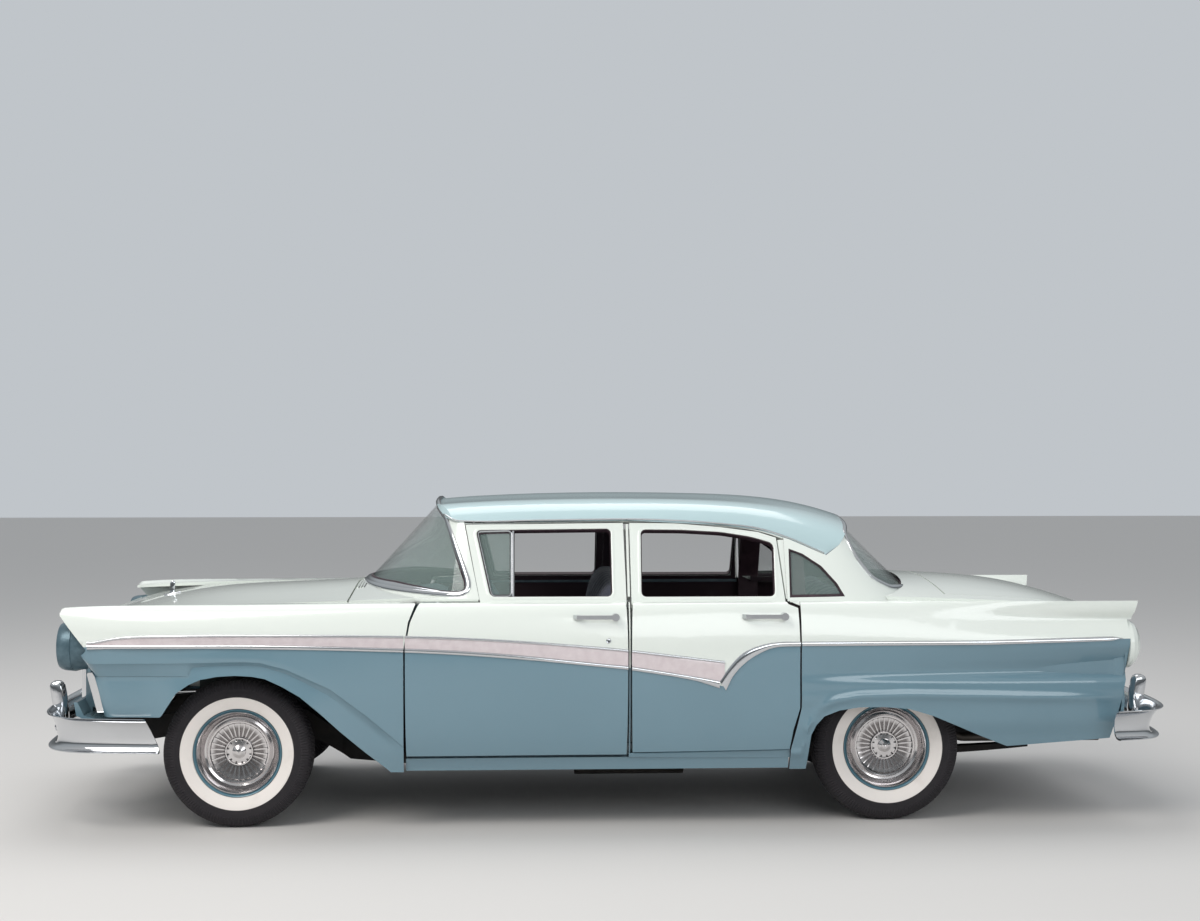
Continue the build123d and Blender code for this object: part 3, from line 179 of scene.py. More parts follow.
class Finish:
    """A material under construction, with its shader and its object coordinates."""

    def __init__(self, name: str, **values: object) -> None:
        """Makes the material and sets the plain values of its shader.

        Args:
            name: The material's name.
            values: Shader sockets by name, with underscores for spaces.
        """
        self.material = bpy.data.materials.new(name)
        self.material.use_nodes = True
        self.tree = self.material.node_tree
        self.shader = next(n for n in self.tree.nodes if n.type == "BSDF_PRINCIPLED")
        for key, value in values.items():
            self.set(key.replace("_", " "), value)

    def feed(self, socket: bpy.types.NodeSocket, value: object) -> None:
        """Links a socket to a value of another node, or sets its number or colour."""
        if isinstance(value, Sock):
            self.tree.links.new(value.socket, socket)
        else:
            socket.default_value = (*value, 1.0) if isinstance(value, tuple) else value

    def set(self, name: str, value: object) -> None:
        """Sets or links one socket of the shader."""
        self.feed(self.shader.inputs[name], value)

    def node(self, kind: str, settings: dict[str, object] | None = None, **inputs: object) -> Sock:
        """Adds a node.

        Args:
            kind: The node's type.
            settings: Properties of the node by name.
            inputs: Values or links of its sockets.

        Returns:
            The node's first output.
        """
        node = self.tree.nodes.new(kind)
        for key, value in (settings or {}).items():
            setattr(node, key, value)
        for key, value in inputs.items():
            self.feed(node.inputs[key], value)
        return Sock(self.tree, node.outputs[0])

    def place(self, output: str = "Object") -> Sock:
        """Gives the object coordinates, or another output of their node."""
        node = self.tree.nodes.new("ShaderNodeTexCoord")
        return Sock(self.tree, node.outputs[output])

    def axes(self, output: str = "Object") -> tuple[Sock, Sock, Sock]:
        """Gives x, y and z of the object coordinates, or of the normal."""
        node = self.tree.nodes.new("ShaderNodeSeparateXYZ")
        self.feed(node.inputs[0], self.place(output))
        return tuple(Sock(self.tree, node.outputs[i]) for i in range(3))

    def noise(self, scale: float, detail: float = 3.0) -> Sock:
        """Gives a noise of about 0.5 on object coordinates."""
        return self.node("ShaderNodeTexNoise", Vector=self.place(), Scale=scale, Detail=detail)

    def mix(self, factor: object, low: object, high: object) -> Sock:
        """Mixes two colours."""
        node = self.tree.nodes.new("ShaderNodeMix")
        node.data_type = "RGBA"
        for index, value in ((0, factor), (6, low), (7, high)):
            self.feed(node.inputs[index], value)
        return Sock(self.tree, node.outputs[2])

    def bump(self, height: Sock, strength: float, distance: float) -> None:
        """Feeds a height into the shader's normal."""
        self.set("Normal", self.node("ShaderNodeBump", Height=height, Strength=strength, Distance=distance))


def stand(name: str, data: bpy.types.ID) -> bpy.types.Object:
    """Puts an object with this data in the scene."""
    item = bpy.data.objects.new(name, data)
    bpy.context.scene.collection.objects.link(item)
    return item


@dataclass(frozen=True)
class Studio:
    """The camera at the photograph's place, the floor, the backdrop and the lamps."""

    eye: Triple = (-0.449, -8.989, 1.6736)
    yaw: float = 2.791
    pitch: float = -0.171
    lens: float = 54.14
    ground: Colour = (0.62, 0.6, 0.58)

    def camera(self) -> None:
        """Places the camera."""
        data = bpy.data.cameras.new("photo_camera")
        data.lens = self.lens
        data.sensor_width = 36.0
        data.clip_end = 200.0
        camera = stand("photo_camera", data)
        yaw, pitch = math.radians(self.yaw), math.radians(self.pitch)
        forward = Vector((math.sin(yaw) * math.cos(pitch), math.cos(yaw) * math.cos(pitch), math.sin(pitch)))
        camera.rotation_euler = forward.to_track_quat("-Z", "Y").to_euler()
        camera.location = self.eye
        bpy.context.scene.camera = camera

    def floor(self) -> None:
        """Lays the floor."""
        mesh = bpy.data.meshes.new("floor")
        form = bmesh.new()
        bmesh.ops.create_grid(form, x_segments=1, y_segments=1, size=40.0)
        form.to_mesh(mesh)
        form.free()
        floor = stand("floor", mesh)
        mesh.materials.append(Finish("floor_grey", Base_Color=self.ground, Roughness=0.9).material)

    def lamp(self, name: str, place: Triple, aim: Triple, size: Pair, power: float, tint: Colour) -> None:
        """Adds an area lamp.

        Args:
            name: The lamp's name.
            place: Where it stands.
            aim: The point that it faces.
            size: Its width and height.
            power: Its power in watts.
            tint: Its colour.
        """
        data = bpy.data.lights.new(name, "AREA")
        data.shape = "RECTANGLE"
        data.size, data.size_y = size
        data.energy = power
        data.color = tint
        lamp = stand(name, data)
        lamp.location = place
        direction = Vector(aim) - Vector(place)
        lamp.rotation_euler = direction.to_track_quat("-Z", "Y").to_euler()

    def sky(self) -> None:
        """Sets the world's light."""
        world = bpy.data.worlds.new("studio_world")
        world.use_nodes = True
        shade = world.node_tree.nodes["Background"]
        nodes, links = world.node_tree.nodes, world.node_tree.links
        split = nodes.new("ShaderNodeSeparateXYZ")
        links.new(nodes.new("ShaderNodeTexCoord").outputs["Generated"], split.inputs[0])
        high = Sock(world.node_tree, split.outputs[2])
        ramp = nodes.new("ShaderNodeValToRGB")
        links.new((high * 0.5 + 0.5).socket, ramp.inputs["Fac"])
        stops = ramp.color_ramp.elements
        for place, grey in ((0.0, 0.5), (0.44, 0.42), (0.49, 0.16), (0.55, 0.24), (0.63, 0.66), (1.0, 1.15)):
            stop = stops.new(place) if 0.0 < place < 1.0 else stops[int(place)]
            stop.color = (grey * 0.93, grey, grey * 1.04, 1.0)
        plain = nodes.new("ShaderNodeMix")
        plain.data_type = "RGBA"
        links.new(nodes.new("ShaderNodeLightPath").outputs["Is Glossy Ray"], plain.inputs["Factor"])
        plain.inputs["A"].default_value = (0.85, 0.9, 0.95, 1.0)
        links.new(ramp.outputs["Color"], plain.inputs["B"])
        links.new(plain.outputs["Result"], shade.inputs["Color"])
        shade.inputs["Strength"].default_value = 0.62
        bpy.context.scene.world = world

    def build(self) -> None:
        """Sets up the whole stage."""
        self.camera()
        self.floor()
        self.sky()
        self.lamp("key", (-5.0, -5.5, 7.5), (0, 0, 0.6), (5, 5), 475, (1.0, 0.97, 0.93))
        self.lamp("side", (3.5, -9.0, 4.0), (0, 0, 0.6), (7, 3), 176, (0.95, 0.98, 1.0))
        self.lamp("top", (-0.5, 2.5, 8.0), (0, 0, 1.2), (8, 5), 255, (1.0, 1.0, 1.0))
        bpy.context.scene.view_settings.view_transform = "Standard"


@dataclass(frozen=True)
class Axle:
    """One wheel's place: its name, the centre of its hub and the side that it faces."""

    name: str
    x: float
    y: float

    @property
    def out(self) -> int:
        """The sign of Y on the side that the wheel faces."""
        return 1 if self.y > 0 else -1


AXLE_Z = 0.335
AXLES = (
    Axle("front_left", -1.68, -0.7495),
    Axle("front_right", -1.68, 0.7495),
    Axle("rear_left", 1.266, -0.7165),
    Axle("rear_right", 1.266, 0.7165),
)
BELT_W = 0.87
BELT_Z = 1.015
GLASS_RUN = 170 / 360
HEADLAMP = (0.762, 0.815)
TAILLAMP = (0.792, 0.806)
NOSE_CUT = -2.325
LOUVRES = 3
SPEAR_PANELS = {
    "front_fender": (-2.45, -0.93),
    "door_front": (-0.924, 0.069),
    "door_rear": (0.0845, 0.842),
}
BURIED = [(1.0, -0.003), (0.0, -0.003)]
SIDE_NAMES = {-1: "left", 1: "right"}
FRONT_BAR = mm(
    (-2545, 0), (-2543, 300), (-2534, 520), (-2512, 680), (-2468, 790), (-2395, 858), (-2300, 890),
    (-2150, 912), (-2034, 924),
)
REAR_FACE = mm(
    (-70, -45), (-71.5, -22), (-66.5, -6), (-54, 3), (-36, 5), (-10, 2), (14, -7), (34, -19), (50, -31),
    (60, -42), (65.5, -54), (64, -64), (60, -62.5), (56, -46), (44, -34), (20, -17), (-12, -5), (-38, -2),
    (-58, -9), (-66.5, -25), (-66.5, -45),
)
REAR_BAR = mm(
    (2538, 0), (2536, 300), (2527, 520), (2508, 700), (2478, 820), (2435, 895), (2380, 928), (2320, 945),
    (2266, 958),
)


def smooth_run(points: Sequence[Sequence[float]], count: int) -> list[Vector]:
    """Runs a smooth line through points and divides it evenly.

    Args:
        points: Points as (x, z) or (x, y, z).
        count: How many points come back.

    Returns:
        Evenly spaced points along the line.
    """
    knots = [Vector(p) if len(p) == 3 else Vector((p[0], 0.0, p[1])) for p in points]
    dense: list[Vector] = []
    for i in range(len(knots) - 1):
        b, c = knots[i], knots[i + 1]
        a = knots[i - 1] if i else 2 * b - c
        d = knots[i + 2] if i + 2 < len(knots) else 2 * c - b
        reach = (c - b).length / 3
        start = b + (c - a).normalized() * reach
        end = c - (d - b).normalized() * reach
        dense += interpolate_bezier(b, start, end, c, 17)[:-1]
    dense.append(knots[-1])
    return divide(dense, count)


def divide(line: Sequence[Vector], count: int, closed: bool = False) -> list[Vector]:
    """Divides a line of points into evenly spaced ones."""
    lengths = [0.0]
    for a, b in zip(line, line[1:]):
        lengths.append(lengths[-1] + (b - a).length)
    spans = count if closed else count - 1
    result, k = [], 0
    for i in range(count):
        target = lengths[-1] * i / spans
        while k < len(lengths) - 2 and lengths[k + 1] < target:
            k += 1
        share = (target - lengths[k]) / max(lengths[k + 1] - lengths[k], 1e-9)
        result.append(line[k].lerp(line[k + 1], share))
    return result


def rounded(points: Sequence[Pair], radius: float, steps: int = 6) -> list[Vector]:
    """Rounds the corners of a closed outline of (x, z) points."""
    result = []
    total = len(points)
    for i in range(total):
        a, b, c = (Vector((points[(i + k) % total][0], 0.0, points[(i + k) % total][1])) for k in (-1, 0, 1))
        reach = min(radius, (a - b).length * 0.45, (c - b).length * 0.45)
        start = b + (a - b).normalized() * reach
        end = b + (c - b).normalized() * reach
        result += interpolate_bezier(start, b.lerp(start, 0.45), b.lerp(end, 0.45), end, steps)
    return result


def shell(rings: Sequence[Sequence[Vector]], closed: bool = False) -> bmesh.types.BMesh:
    """Lays a tube over rings of points.

    Args:
        rings: Rings of points, all of one length.
        closed: Whether the last ring joins the first.

    Returns:
        The mesh, its ends filled where they are open.
    """
    form = bmesh.new()
    rows = len(rings) - (0 if closed else 1)
    columns = len(rings[0])
    bmesh.ops.create_grid(form, x_segments=rows, y_segments=columns, size=0.5)
    for vertex in form.verts:
        i = round((vertex.co.x + 0.5) * rows) % len(rings)
        j = round((vertex.co.y + 0.5) * columns) % columns
        vertex.co = rings[i][j]
    bmesh.ops.remove_doubles(form, verts=form.verts, dist=MERGE)
    if not closed:
        bmesh.ops.holes_fill(form, edges=[e for e in form.edges if e.is_boundary], sides=0)
    bmesh.ops.recalc_face_normals(form, faces=form.faces)
    return form


def sweep(run: Sequence[Vector], ups: Sequence[Vector], section: Sequence[Pair], closed: bool = False,
          scales: Sequence[float] | None = None) -> bmesh.types.BMesh:
    """Carries a closed section along a run.

    Args:
        run: The run's points.
        ups: The outward direction at each point.
        section: The section as (across, outward).
        closed: Whether the run returns to its start.
        scales: How wide the section is at each point, as a share of its own width.

    Returns:
        The tube.
    """
    rings = []
    total = len(run)
    for i, centre in enumerate(run):
        ahead = run[(i + 1) % total] if closed or i + 1 < total else centre
        behind = run[i - 1] if closed or i else centre
        along = (ahead - behind).normalized()
        up = (ups[i] - along * ups[i].dot(along)).normalized()
        across = along.cross(up)
        wide = scales[i] if scales else 1.0
        rings.append([centre + across * (a * wide) + up * d for a, d in section])
    return shell(rings, closed=closed)


def dome_section(width: float, height: float, sunk: float = 0.002, steps: int = 6) -> list[Pair]:
    """A half-round section, its foot sunk below the surface."""
    top = [(width / 2 * math.cos(t), height * math.sin(t)) for t in even(0.0, math.pi, steps)]
    return top + [(-width / 2, -sunk), (width / 2, -sunk)]


def turned(profile: Sequence[Pair], centre: Vector, axis: Vector, steps: int) -> bmesh.types.BMesh:
    """Spins a profile of (along, radius) about an axis through centre."""
    form = bmesh.new()
    aside = axis.orthogonal().normalized()
    corners = [form.verts.new(centre + axis * w + aside * r) for w, r in profile]
    edges = [form.edges.new(pair) for pair in zip(corners, corners[1:])]
    bmesh.ops.spin(form, geom=corners + edges, cent=centre, axis=axis, angle=2 * math.pi, steps=steps,
                   use_merge=True, use_duplicate=False)
    bmesh.ops.remove_doubles(form, verts=form.verts, dist=MERGE)
    bmesh.ops.recalc_face_normals(form, faces=form.faces)
    return form


def block(low: Sequence[float], high: Sequence[float], edge: float, segments: int = 3) -> bmesh.types.BMesh:
    """Makes a soft-edged block between two corners."""
    form = bmesh.new()
    bmesh.ops.create_cube(form, size=1.0)
    for vertex in form.verts:
        vertex.co = Vector([a if c < 0 else b for a, b, c in zip(low, high, vertex.co)])
    bmesh.ops.bevel(form, geom=form.edges[:], offset=edge, segments=segments, profile=0.5, affect="EDGES",
                    material=-1)
    bmesh.ops.recalc_face_normals(form, faces=form.faces)
    return form


def cad_form(node: str) -> bmesh.types.BMesh:
    """A CAD node's mesh with its doubled corners merged, to be cut or bent."""
    form = bmesh.new()
    form.from_mesh(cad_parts[node].data)
    bmesh.ops.remove_doubles(form, verts=form.verts, dist=MERGE)
    return form


def piece(name: str, form: bmesh.types.BMesh, look: Look, body: str = "body",
          angle: float = 35.0) -> bpy.types.Object:
    """Turns a mesh under construction into a named piece that rides on a body.

    Args:
        name: The piece's name.
        form: The mesh, which is freed.
        look: Its material and slot; only the material is used.
        body: The CAD body that it moves with.
        angle: The angle in degrees from which an edge is sharp.

    Returns:
        The object.
    """
    mesh = bpy.data.meshes.new(name)
    form.to_mesh(mesh)
    form.free()
    mesh.shade_smooth()
    mesh.set_sharp_from_angle(angle=math.radians(angle))
    mesh.materials.append(look.material)
    item = stand(name, mesh)
    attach(item, body)
    LOG.info("%s: %d faces on %s", name, len(mesh.polygons), body)
    return item


def both_sides(name: str, look: Look, rows: Sequence[Sequence[Triple]], angle: float = 35.0) -> None:
    """Makes a tube through rows of points (x, width, z) on each side of the car."""
    for side, side_name in SIDE_NAMES.items():
        rings = [[Vector((x, side * w, z)) for x, w, z in row] for row in rows]
        piece(f"{name}_{side_name}", shell(rings), look, angle=angle)


class Skin:
    """A surface that trim is laid on."""

    def __init__(self, mesh: bpy.types.Mesh) -> None:
        """Puts the mesh in a search tree."""
        form = bmesh.new()
        form.from_mesh(mesh)
        self.tree = BVHTree.FromBMesh(form)
        form.free()

    @classmethod
    def of(cls, node: str) -> "Skin":
        """The surface of a CAD node."""
        return cls(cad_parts[node].data)

    def hit(self, start: Vector, aim: Vector) -> tuple[Vector, Vector] | None:
        """The first point and its outward normal on a ray, or None."""
        spot, normal, _, _ = self.tree.ray_cast(start, aim)
        if spot is None:
            return None
        return spot, normal if normal.dot(aim) < 0 else -normal

    def side(self, x: float, z: float, side: int) -> tuple[Vector, Vector]:
        """The point and normal at (x, z), seen from one side of the car."""
        for shift in (0.0, 0.005, -0.005, 0.01, -0.01, 0.02, -0.02):
            found = self.hit(Vector((x + shift, side * 1.4, z)), Vector((0, -side, 0)))
            if found:
                return Vector((x, found[0].y, z)), found[1]
        raise ValueError(f"nothing at x {x:.3f}, z {z:.3f}")

    def above(self, x: float, y: float) -> tuple[Vector, Vector]:
        """The point and normal at (x, y), seen from above."""
        for shift in (0.0, 0.004, -0.004, 0.01, -0.01, 0.02, -0.02):
            found = self.hit(Vector((x + shift, y, 3.0)), Vector((0, 0, -1)))
            if found:
                return found
        raise ValueError(f"nothing below x {x:.3f}, y {y:.3f}")


def glass_point(x: float, z: float, side: int, depth: float = 0.0) -> tuple[Vector, Vector]:
    """A point in the side windows' plane, some depth below it, and the plane's normal."""
    tilt = math.atan(GLASS_RUN)
    normal = Vector((0, side * math.cos(tilt), math.sin(tilt)))
    spot = Vector((x, side * (BELT_W - GLASS_RUN * (z - BELT_Z)), z))
    return spot - normal * depth, normal


def on_glass(line: Sequence[Vector], side: int, depth: float = 0.0) -> Edge:
    """Lays a line of (x, z) points in the side windows' plane, with the plane's normal at each."""
    return tuple(zip(*(glass_point(p.x, p.z, side, depth) for p in line)))


@dataclass
class SideTrim:
    """The spear: its insert and mouldings, the hook on the rear door and the thin rear moulding."""

    bright: Look
    insert: Look
    insert_end: float = 0.5
    moulding_end: float = 0.482
    insert_top: tuple[Pair, ...] = mm(
        (-2300, 838), (-2172, 861), (-1998, 868), (-1605, 870), (-911, 862), (-504, 844), (-14, 805),
        (245, 775), (500, 743),
    )
    insert_foot: tuple[Pair, ...] = mm(
        (-2300, 832), (-2172, 834), (-1605, 834), (-911, 816), (-504, 792), (-14, 741), (93, 730), (424, 675),
        (478, 664),
    )
    spear_foot: tuple[Pair, ...] = mm(
        (-2337, 812), (-2172, 817), (-1605, 816), (-911, 798), (-504, 773), (-14, 725), (93, 712), (361, 667),
        (505, 622),
    )
    hook_inner: tuple[Pair, ...] = mm((478, 664), (526, 734), (583, 790), (664, 824), (740, 837), (842, 839))
    hook_outer: tuple[Pair, ...] = mm((507, 621), (538, 684), (589, 740), (652, 783), (728, 812), (842, 817))

    def level(self, points: Sequence[Pair], x: float) -> float:
        """The height of a smooth line at x."""
        run = self.lines[points]
        for a, b in zip(run, run[1:]):
            if a.x <= x <= b.x:
                return a.z + (b.z - a.z) * (x - a.x) / max(b.x - a.x, 1e-9)
        return run[0].z if x < run[0].x else run[-1].z

    def raised(self, line: Sequence[Vector], rise: float) -> list[Vector]:
        """The same line, higher up."""
        return [Vector((p.x, 0, p.z + rise)) for p in line]

    def moulding(self, height: float) -> list[Pair]:
        """The section of a rounded moulding, as (share from low to high, height above the skin)."""
        rise = even(0.0, math.pi, 8)
        return [(0.5 - 0.5 * math.cos(t), 0.0005 + height * math.sin(t) ** 0.7) for t in rise] + BURIED

    def band(self, name: str, skin: Skin, side: int, low: Sequence[Vector], high: Sequence[Vector],
             profile: Sequence[Pair], look: Look, body: str) -> None:
        """Lays a band between two lines on the skin.

        Args:
            name: The piece's name.
            skin: The surface below.
            side: The side of the car.
            low: The lower line.
            high: The upper line, of as many points.
            profile: The band's section as (share from low to high, height above the skin).
            look: The material and slot.
            body: The body that it rides on.
        """
        rings = []
        for a, b in zip(low, high):
            ring = []
            for share, proud in profile:
                x, z = a.x + (b.x - a.x) * share, a.z + (b.z - a.z) * share
                spot, _ = skin.side(x, z, side)
                ring.append(spot + Vector((0, side * proud, 0)))
            rings.append(ring)
        piece(name, shell(rings), look, body)

    def build(self) -> None:
        """Makes the trim of both sides."""
        self.lines = {
            line: smooth_run(line, 160) for line in (self.insert_top, self.insert_foot, self.spear_foot)
        }
        for side, side_name in SIDE_NAMES.items():
            for stem, (x0, x1) in SPEAR_PANELS.items():
                self.spear(f"{stem}_{side_name}", side, x0, x1)
            door = f"door_rear_{side_name}"
            self.band(f"{door}_hook", Skin.of(door), side, smooth_run(self.hook_outer, 44),
                      smooth_run(self.hook_inner, 44), self.moulding(0.0075), self.bright, door)
            quarter = f"quarter_panel_{side_name}"
            low, high = [], []
            for x in even(0.849, 2.329 - 0.849, 60):
                middle = 0.828 + 0.013 * max(0.0, (x - 1.7) / 0.63)
                half = 0.0105 * min(1.0, (2.3315 - x) / 0.06)
                low.append(Vector((x, 0, middle - half)))
                high.append(Vector((x, 0, middle + half)))
            self.band(f"{quarter}_moulding", Skin.of(quarter), side, low, high, self.moulding(0.0065),
                      self.bright, "body")

    def spear(self, node: str, side: int, x0: float, x1: float) -> None:
        """Makes one panel's length of the spear: the insert between its two mouldings.

        Args:
            node: The panel.
            side: The side of the car.
            x0: Where the panel starts.
            x1: Where it ends.
        """
        skin = Skin.of(node)
        body = node if node.startswith("door") else "body"
        start = max(x0 + 0.0005, NOSE_CUT)
        end = min(x1 - 0.0005, self.insert_end)
        count = max(8, int((end - start) / 0.022))
        xs = even(start, end - start, count)
        top, foot, under = ([self.level(line, x) for x in xs]
                            for line in (self.insert_top, self.insert_foot, self.spear_foot))
        top = [max(high, low + 0.002) for high, low in zip(top, foot)]
        top, foot, under = ([Vector((x, 0, z)) for x, z in zip(xs, line)] for line in (top, foot, under))
        flat = [(0.0, 0.001)] + [(0.03 + 0.94 * i / 12, 0.0025) for i in range(13)] + [(1.0, 0.001)] + BURIED
        self.band(f"{node}_insert", skin, side, foot, top, flat, self.insert, body)
        kept = sum(x <= self.moulding_end for x in xs)
        self.band(f"{node}_lower_moulding", skin, side, under[:kept], self.raised(foot[:kept], 0.001),
                  self.moulding(0.0075), self.bright, body)
        self.band(f"{node}_upper_moulding", skin, side, self.raised(top, -0.001), self.raised(top, 0.011),
                  self.moulding(0.0075), self.bright, body)


def pane_rim(node: str, side: int, count: int) -> Edge:
    """Finds the edge of a pane's outer face.

    Args:
        node: The pane's CAD node.
        side: -1 or 1 for a pane on that side only, 0 for one that spans the car.
        count: How many points the edge is divided into.

    Returns:
        The edge's points, going round, and the outward direction at each.
    """
    form = bmesh.new()
    form.from_mesh(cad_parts[node].data)
    if side:
        away = [v for v in form.verts if v.co.y * side < 0]
        bmesh.ops.delete(form, geom=away, context="VERTS")
    bmesh.ops.remove_doubles(form, verts=form.verts, dist=MERGE)
    form.normal_update()
    middle = sum((v.co for v in form.verts), Vector()) / len(form.verts)
    inset = 0 if side else math.copysign(0.5, -middle.x)
    core = Vector((middle.x + inset, 0, middle.z))
    outer = {f for f in form.faces if f.normal.dot((f.calc_center_median() - core).normalized()) > 0.35}
    rim = [e for e in form.edges if sum(f in outer for f in e.link_faces) == 1]
    loops = []
    while rim:
        edge = rim.pop()
        chain = [edge.verts[0], edge.verts[1]]
        while True:
            step = next((e for e in chain[-1].link_edges if e in rim), None)
            if step is None:
                break
            rim.remove(step)
            chain.append(step.other_vert(chain[-1]))
        loops.append([v.co.copy() for v in chain])
    longest = max(loops, key=lambda line: sum((b - a).length for a, b in zip(line, line[1:])))
    tree = BVHTree.FromBMesh(form)
    form.free()
    if (longest[0] - longest[-1]).length > 1e-6:
        longest.append(longest[0])
    run = divide(longest, count, closed=True)
    for _ in range(2):
        run = [(run[i - 1] + run[i] * 2 + run[(i + 1) % count]) / 4 for i in range(count)]
    inner = sum(run, Vector()) / count
    ups = []
    for point in run:
        _, normal, _, _ = tree.find_nearest(point.lerp(inner, 0.05))
        ups.append(normal if normal.dot(point - core) > 0 else -normal)
    for _ in range(4):
        ups = [(ups[i - 1] + ups[i] + ups[(i + 1) % count]).normalized() for i in range(count)]
    turn = sum((run[(i + 1) % count] - run[i - 1]).cross(ups[i]).dot(run[i] - inner) for i in range(count))
    if turn < 0:
        run.reverse()
        ups.reverse()
    return run, ups


@dataclass(frozen=True)
class Glazing:
    """The window surrounds, gaskets, vent frames, divider bars and drip rails."""

    bright: Look
    white: Look
    rubber: Look
    front_window: tuple[Pair, ...] = mm((-548, 1034), (-617, 1332), (5, 1338), (5, 1034))
    rear_window: tuple[Pair, ...] = mm(
        (133, 1032), (139, 1334), (330, 1332), (509, 1322), (650, 1300), (752, 1270), (744, 1032),
    )
    vent: tuple[Pair, ...] = mm((-539, 1040), (-607, 1326), (-453, 1330), (-453, 1040))
    drip: tuple[Pair, ...] = mm(
        (-760, 1398), (-692, 1371), (-300, 1374), (89, 1378), (330, 1370), (510, 1357), (680, 1336),
        (820, 1293), (930, 1246), (985, 1221),
    )

    def rims(self, name: str, edge: Edge, body: str, scales: Sequence[float] | None = None,
             **parts: tuple[Look, Sequence[Pair]]) -> None:
        """Carries closed sections round a window.

        Args:
            name: The start of the pieces' names.
            edge: The run round the window and its outward directions.
            body: The body that they ride on.
            scales: How wide the sections are at each point.
            parts: The look and the section of each piece, by the end of its name.
        """
        for part, (look, section) in parts.items():
            piece(f"{name}_{part}", sweep(*edge, section, True, scales), look, body)

    def surround(self, node: str, count: int) -> None:
        """Frames a fixed pane with a bright band and a dark gasket inside it."""
        band = mm((-2, 4), (-2, 15), (2, 18.5), (10, 20.5), (18, 19.5), (22, 16), (22, 4))
        seal = mm((-12, -2), (-11, 4), (-6, 9), (0, 11), (2, -2))
        edge = pane_rim(node, 0, count)
        self.rims(node, edge, "body", surround=(self.bright, band), gasket=(self.rubber, seal))

    def sill(self) -> None:
        """Lays the broad band along the windshield's foot."""
        run, ups = pane_rim("windshield", 0, 220)
        low = min(p.z for p in run)
        wide = []
        for point in run:
            deep = max(0.0, 1 - (point.z - low) / 0.05) * held((0.8 - abs(point.y)) / 0.25)
            wide.append(max(0.03, deep**0.5))
        band = mm((-30, 1), (-30, 5), (-26, 10.5), (-18, 15), (-8, 16.5), (0, 15), (2, 1))
        seal = mm((-40, 1), (-39, 4), (-35, 6.5), (-29, 6), (-28, 1))
        parts = {"sill": (self.bright, band), "inner_seal": (self.rubber, seal)}
        self.rims("windshield", (run, ups), "body", wide, **parts)

    def quarter(self, name: str, side: int) -> None:
        """Frames a quarter pane with a dark gasket and a fine bright line."""
        seal = mm((-11, -2), (-10, 5), (-5, 9.5), (4, 10.5), (8, 6), (8, 0))
        line = mm((7, 1), (7, 9), (9.5, 11.5), (12.5, 11.5), (15, 8), (15, 1))
        edge = pane_rim("quarter_windows", side, 90)
        self.rims(name, edge, "body", gasket=(self.rubber, seal), line=(self.bright, line))

    def opening(self, name: str, outline: Sequence[Pair], side: int, body: str) -> None:
        """Lines a door window's opening with a painted lip and a thin dark channel."""
        run, ups = on_glass(rounded(outline, 0.024), side)
        total = len(run)
        inner = sum(run, Vector()) / total
        turns = [(run[(i + 1) % total] - run[i - 1]).cross(ups[i]).dot(run[i] - inner) for i in range(total)]
        sign = 1 if sum(1 if turn > 0 else -1 for turn in turns) > 0 else -1
        lip = mm((-1.5, -36), (-1.5, 0.5), (1, 2), (9, 2), (12.5, 0.5), (12.5, -36))
        channel = mm((-6, -34), (-6, -6), (-3.5, -3), (-1, -3), (-1, -34))
        lip, channel = ([(sign * a, d) for a, d in section] for section in (lip, channel))
        self.rims(name, (run, ups), body, lip=(self.white, lip), channel=(self.rubber, channel))

    def vent_frame(self, name: str, side: int, body: str) -> None:
        """Frames the small hinged pane, with the upright divider bar behind it."""
        tube = [(0.0055 * math.cos(math.pi * i / 5), 0.008 * math.sin(math.pi * i / 5)) for i in range(10)]
        self.rims(name, on_glass(rounded(self.vent, 0.016), side, 0.01), body, frame=(self.bright, tube))
        inner = rounded([(x * 0.955 - 0.0235, 1.185 + (z - 1.185) * 0.955) for x, z in self.vent], 0.012)
        seal = [(0.003 * math.cos(math.pi * i / 4), 0.003 * math.sin(math.pi * i / 4)) for i in range(8)]
        self.rims(name, on_glass(inner, side, 0.012), body, seal=(self.rubber, seal))
        line = smooth_run(((-0.444, 1.0355), (-0.444, 1.18), (-0.444, 1.3315)), 12)
        bar = mm((-6.8, -27), (-6.8, -8), (-4, -4.5), (4, -4.5), (6.8, -8), (6.8, -27))
        piece(f"{name}_divider", sweep(*on_glass(line, side), bar), self.bright, body)

    def drip_rail(self, skin: Skin, side: int) -> None:
        """Lays the drip rail along the roof's lower edge."""
        proud = Vector((0, side * 0.0015, 0))
        run = [skin.side(p.x, p.z + 0.001, side)[0] + proud for p in smooth_run(self.drip, 90)]
        ups = [Vector((0, side, 0.15)).normalized()] * len(run)
        piece(f"drip_rail_{SIDE_NAMES[side]}", sweep(run, ups, dome_section(0.009, 0.0085)), self.bright)

    def build(self) -> None:
        """Makes all the glazing trim."""
        self.surround("windshield", 220)
        self.surround("rear_window", 200)
        self.sill()
        roof = Skin.of("roof")
        for side, side_name in SIDE_NAMES.items():
            self.quarter(f"quarter_window_{side_name}", side)
            self.opening(f"front_window_{side_name}", self.front_window, side, f"door_front_{side_name}")
            self.opening(f"rear_window_{side_name}", self.rear_window, side, f"door_rear_{side_name}")
            self.vent_frame(f"vent_{side_name}", side, f"door_front_{side_name}")
            self.drip_rail(roof, side)


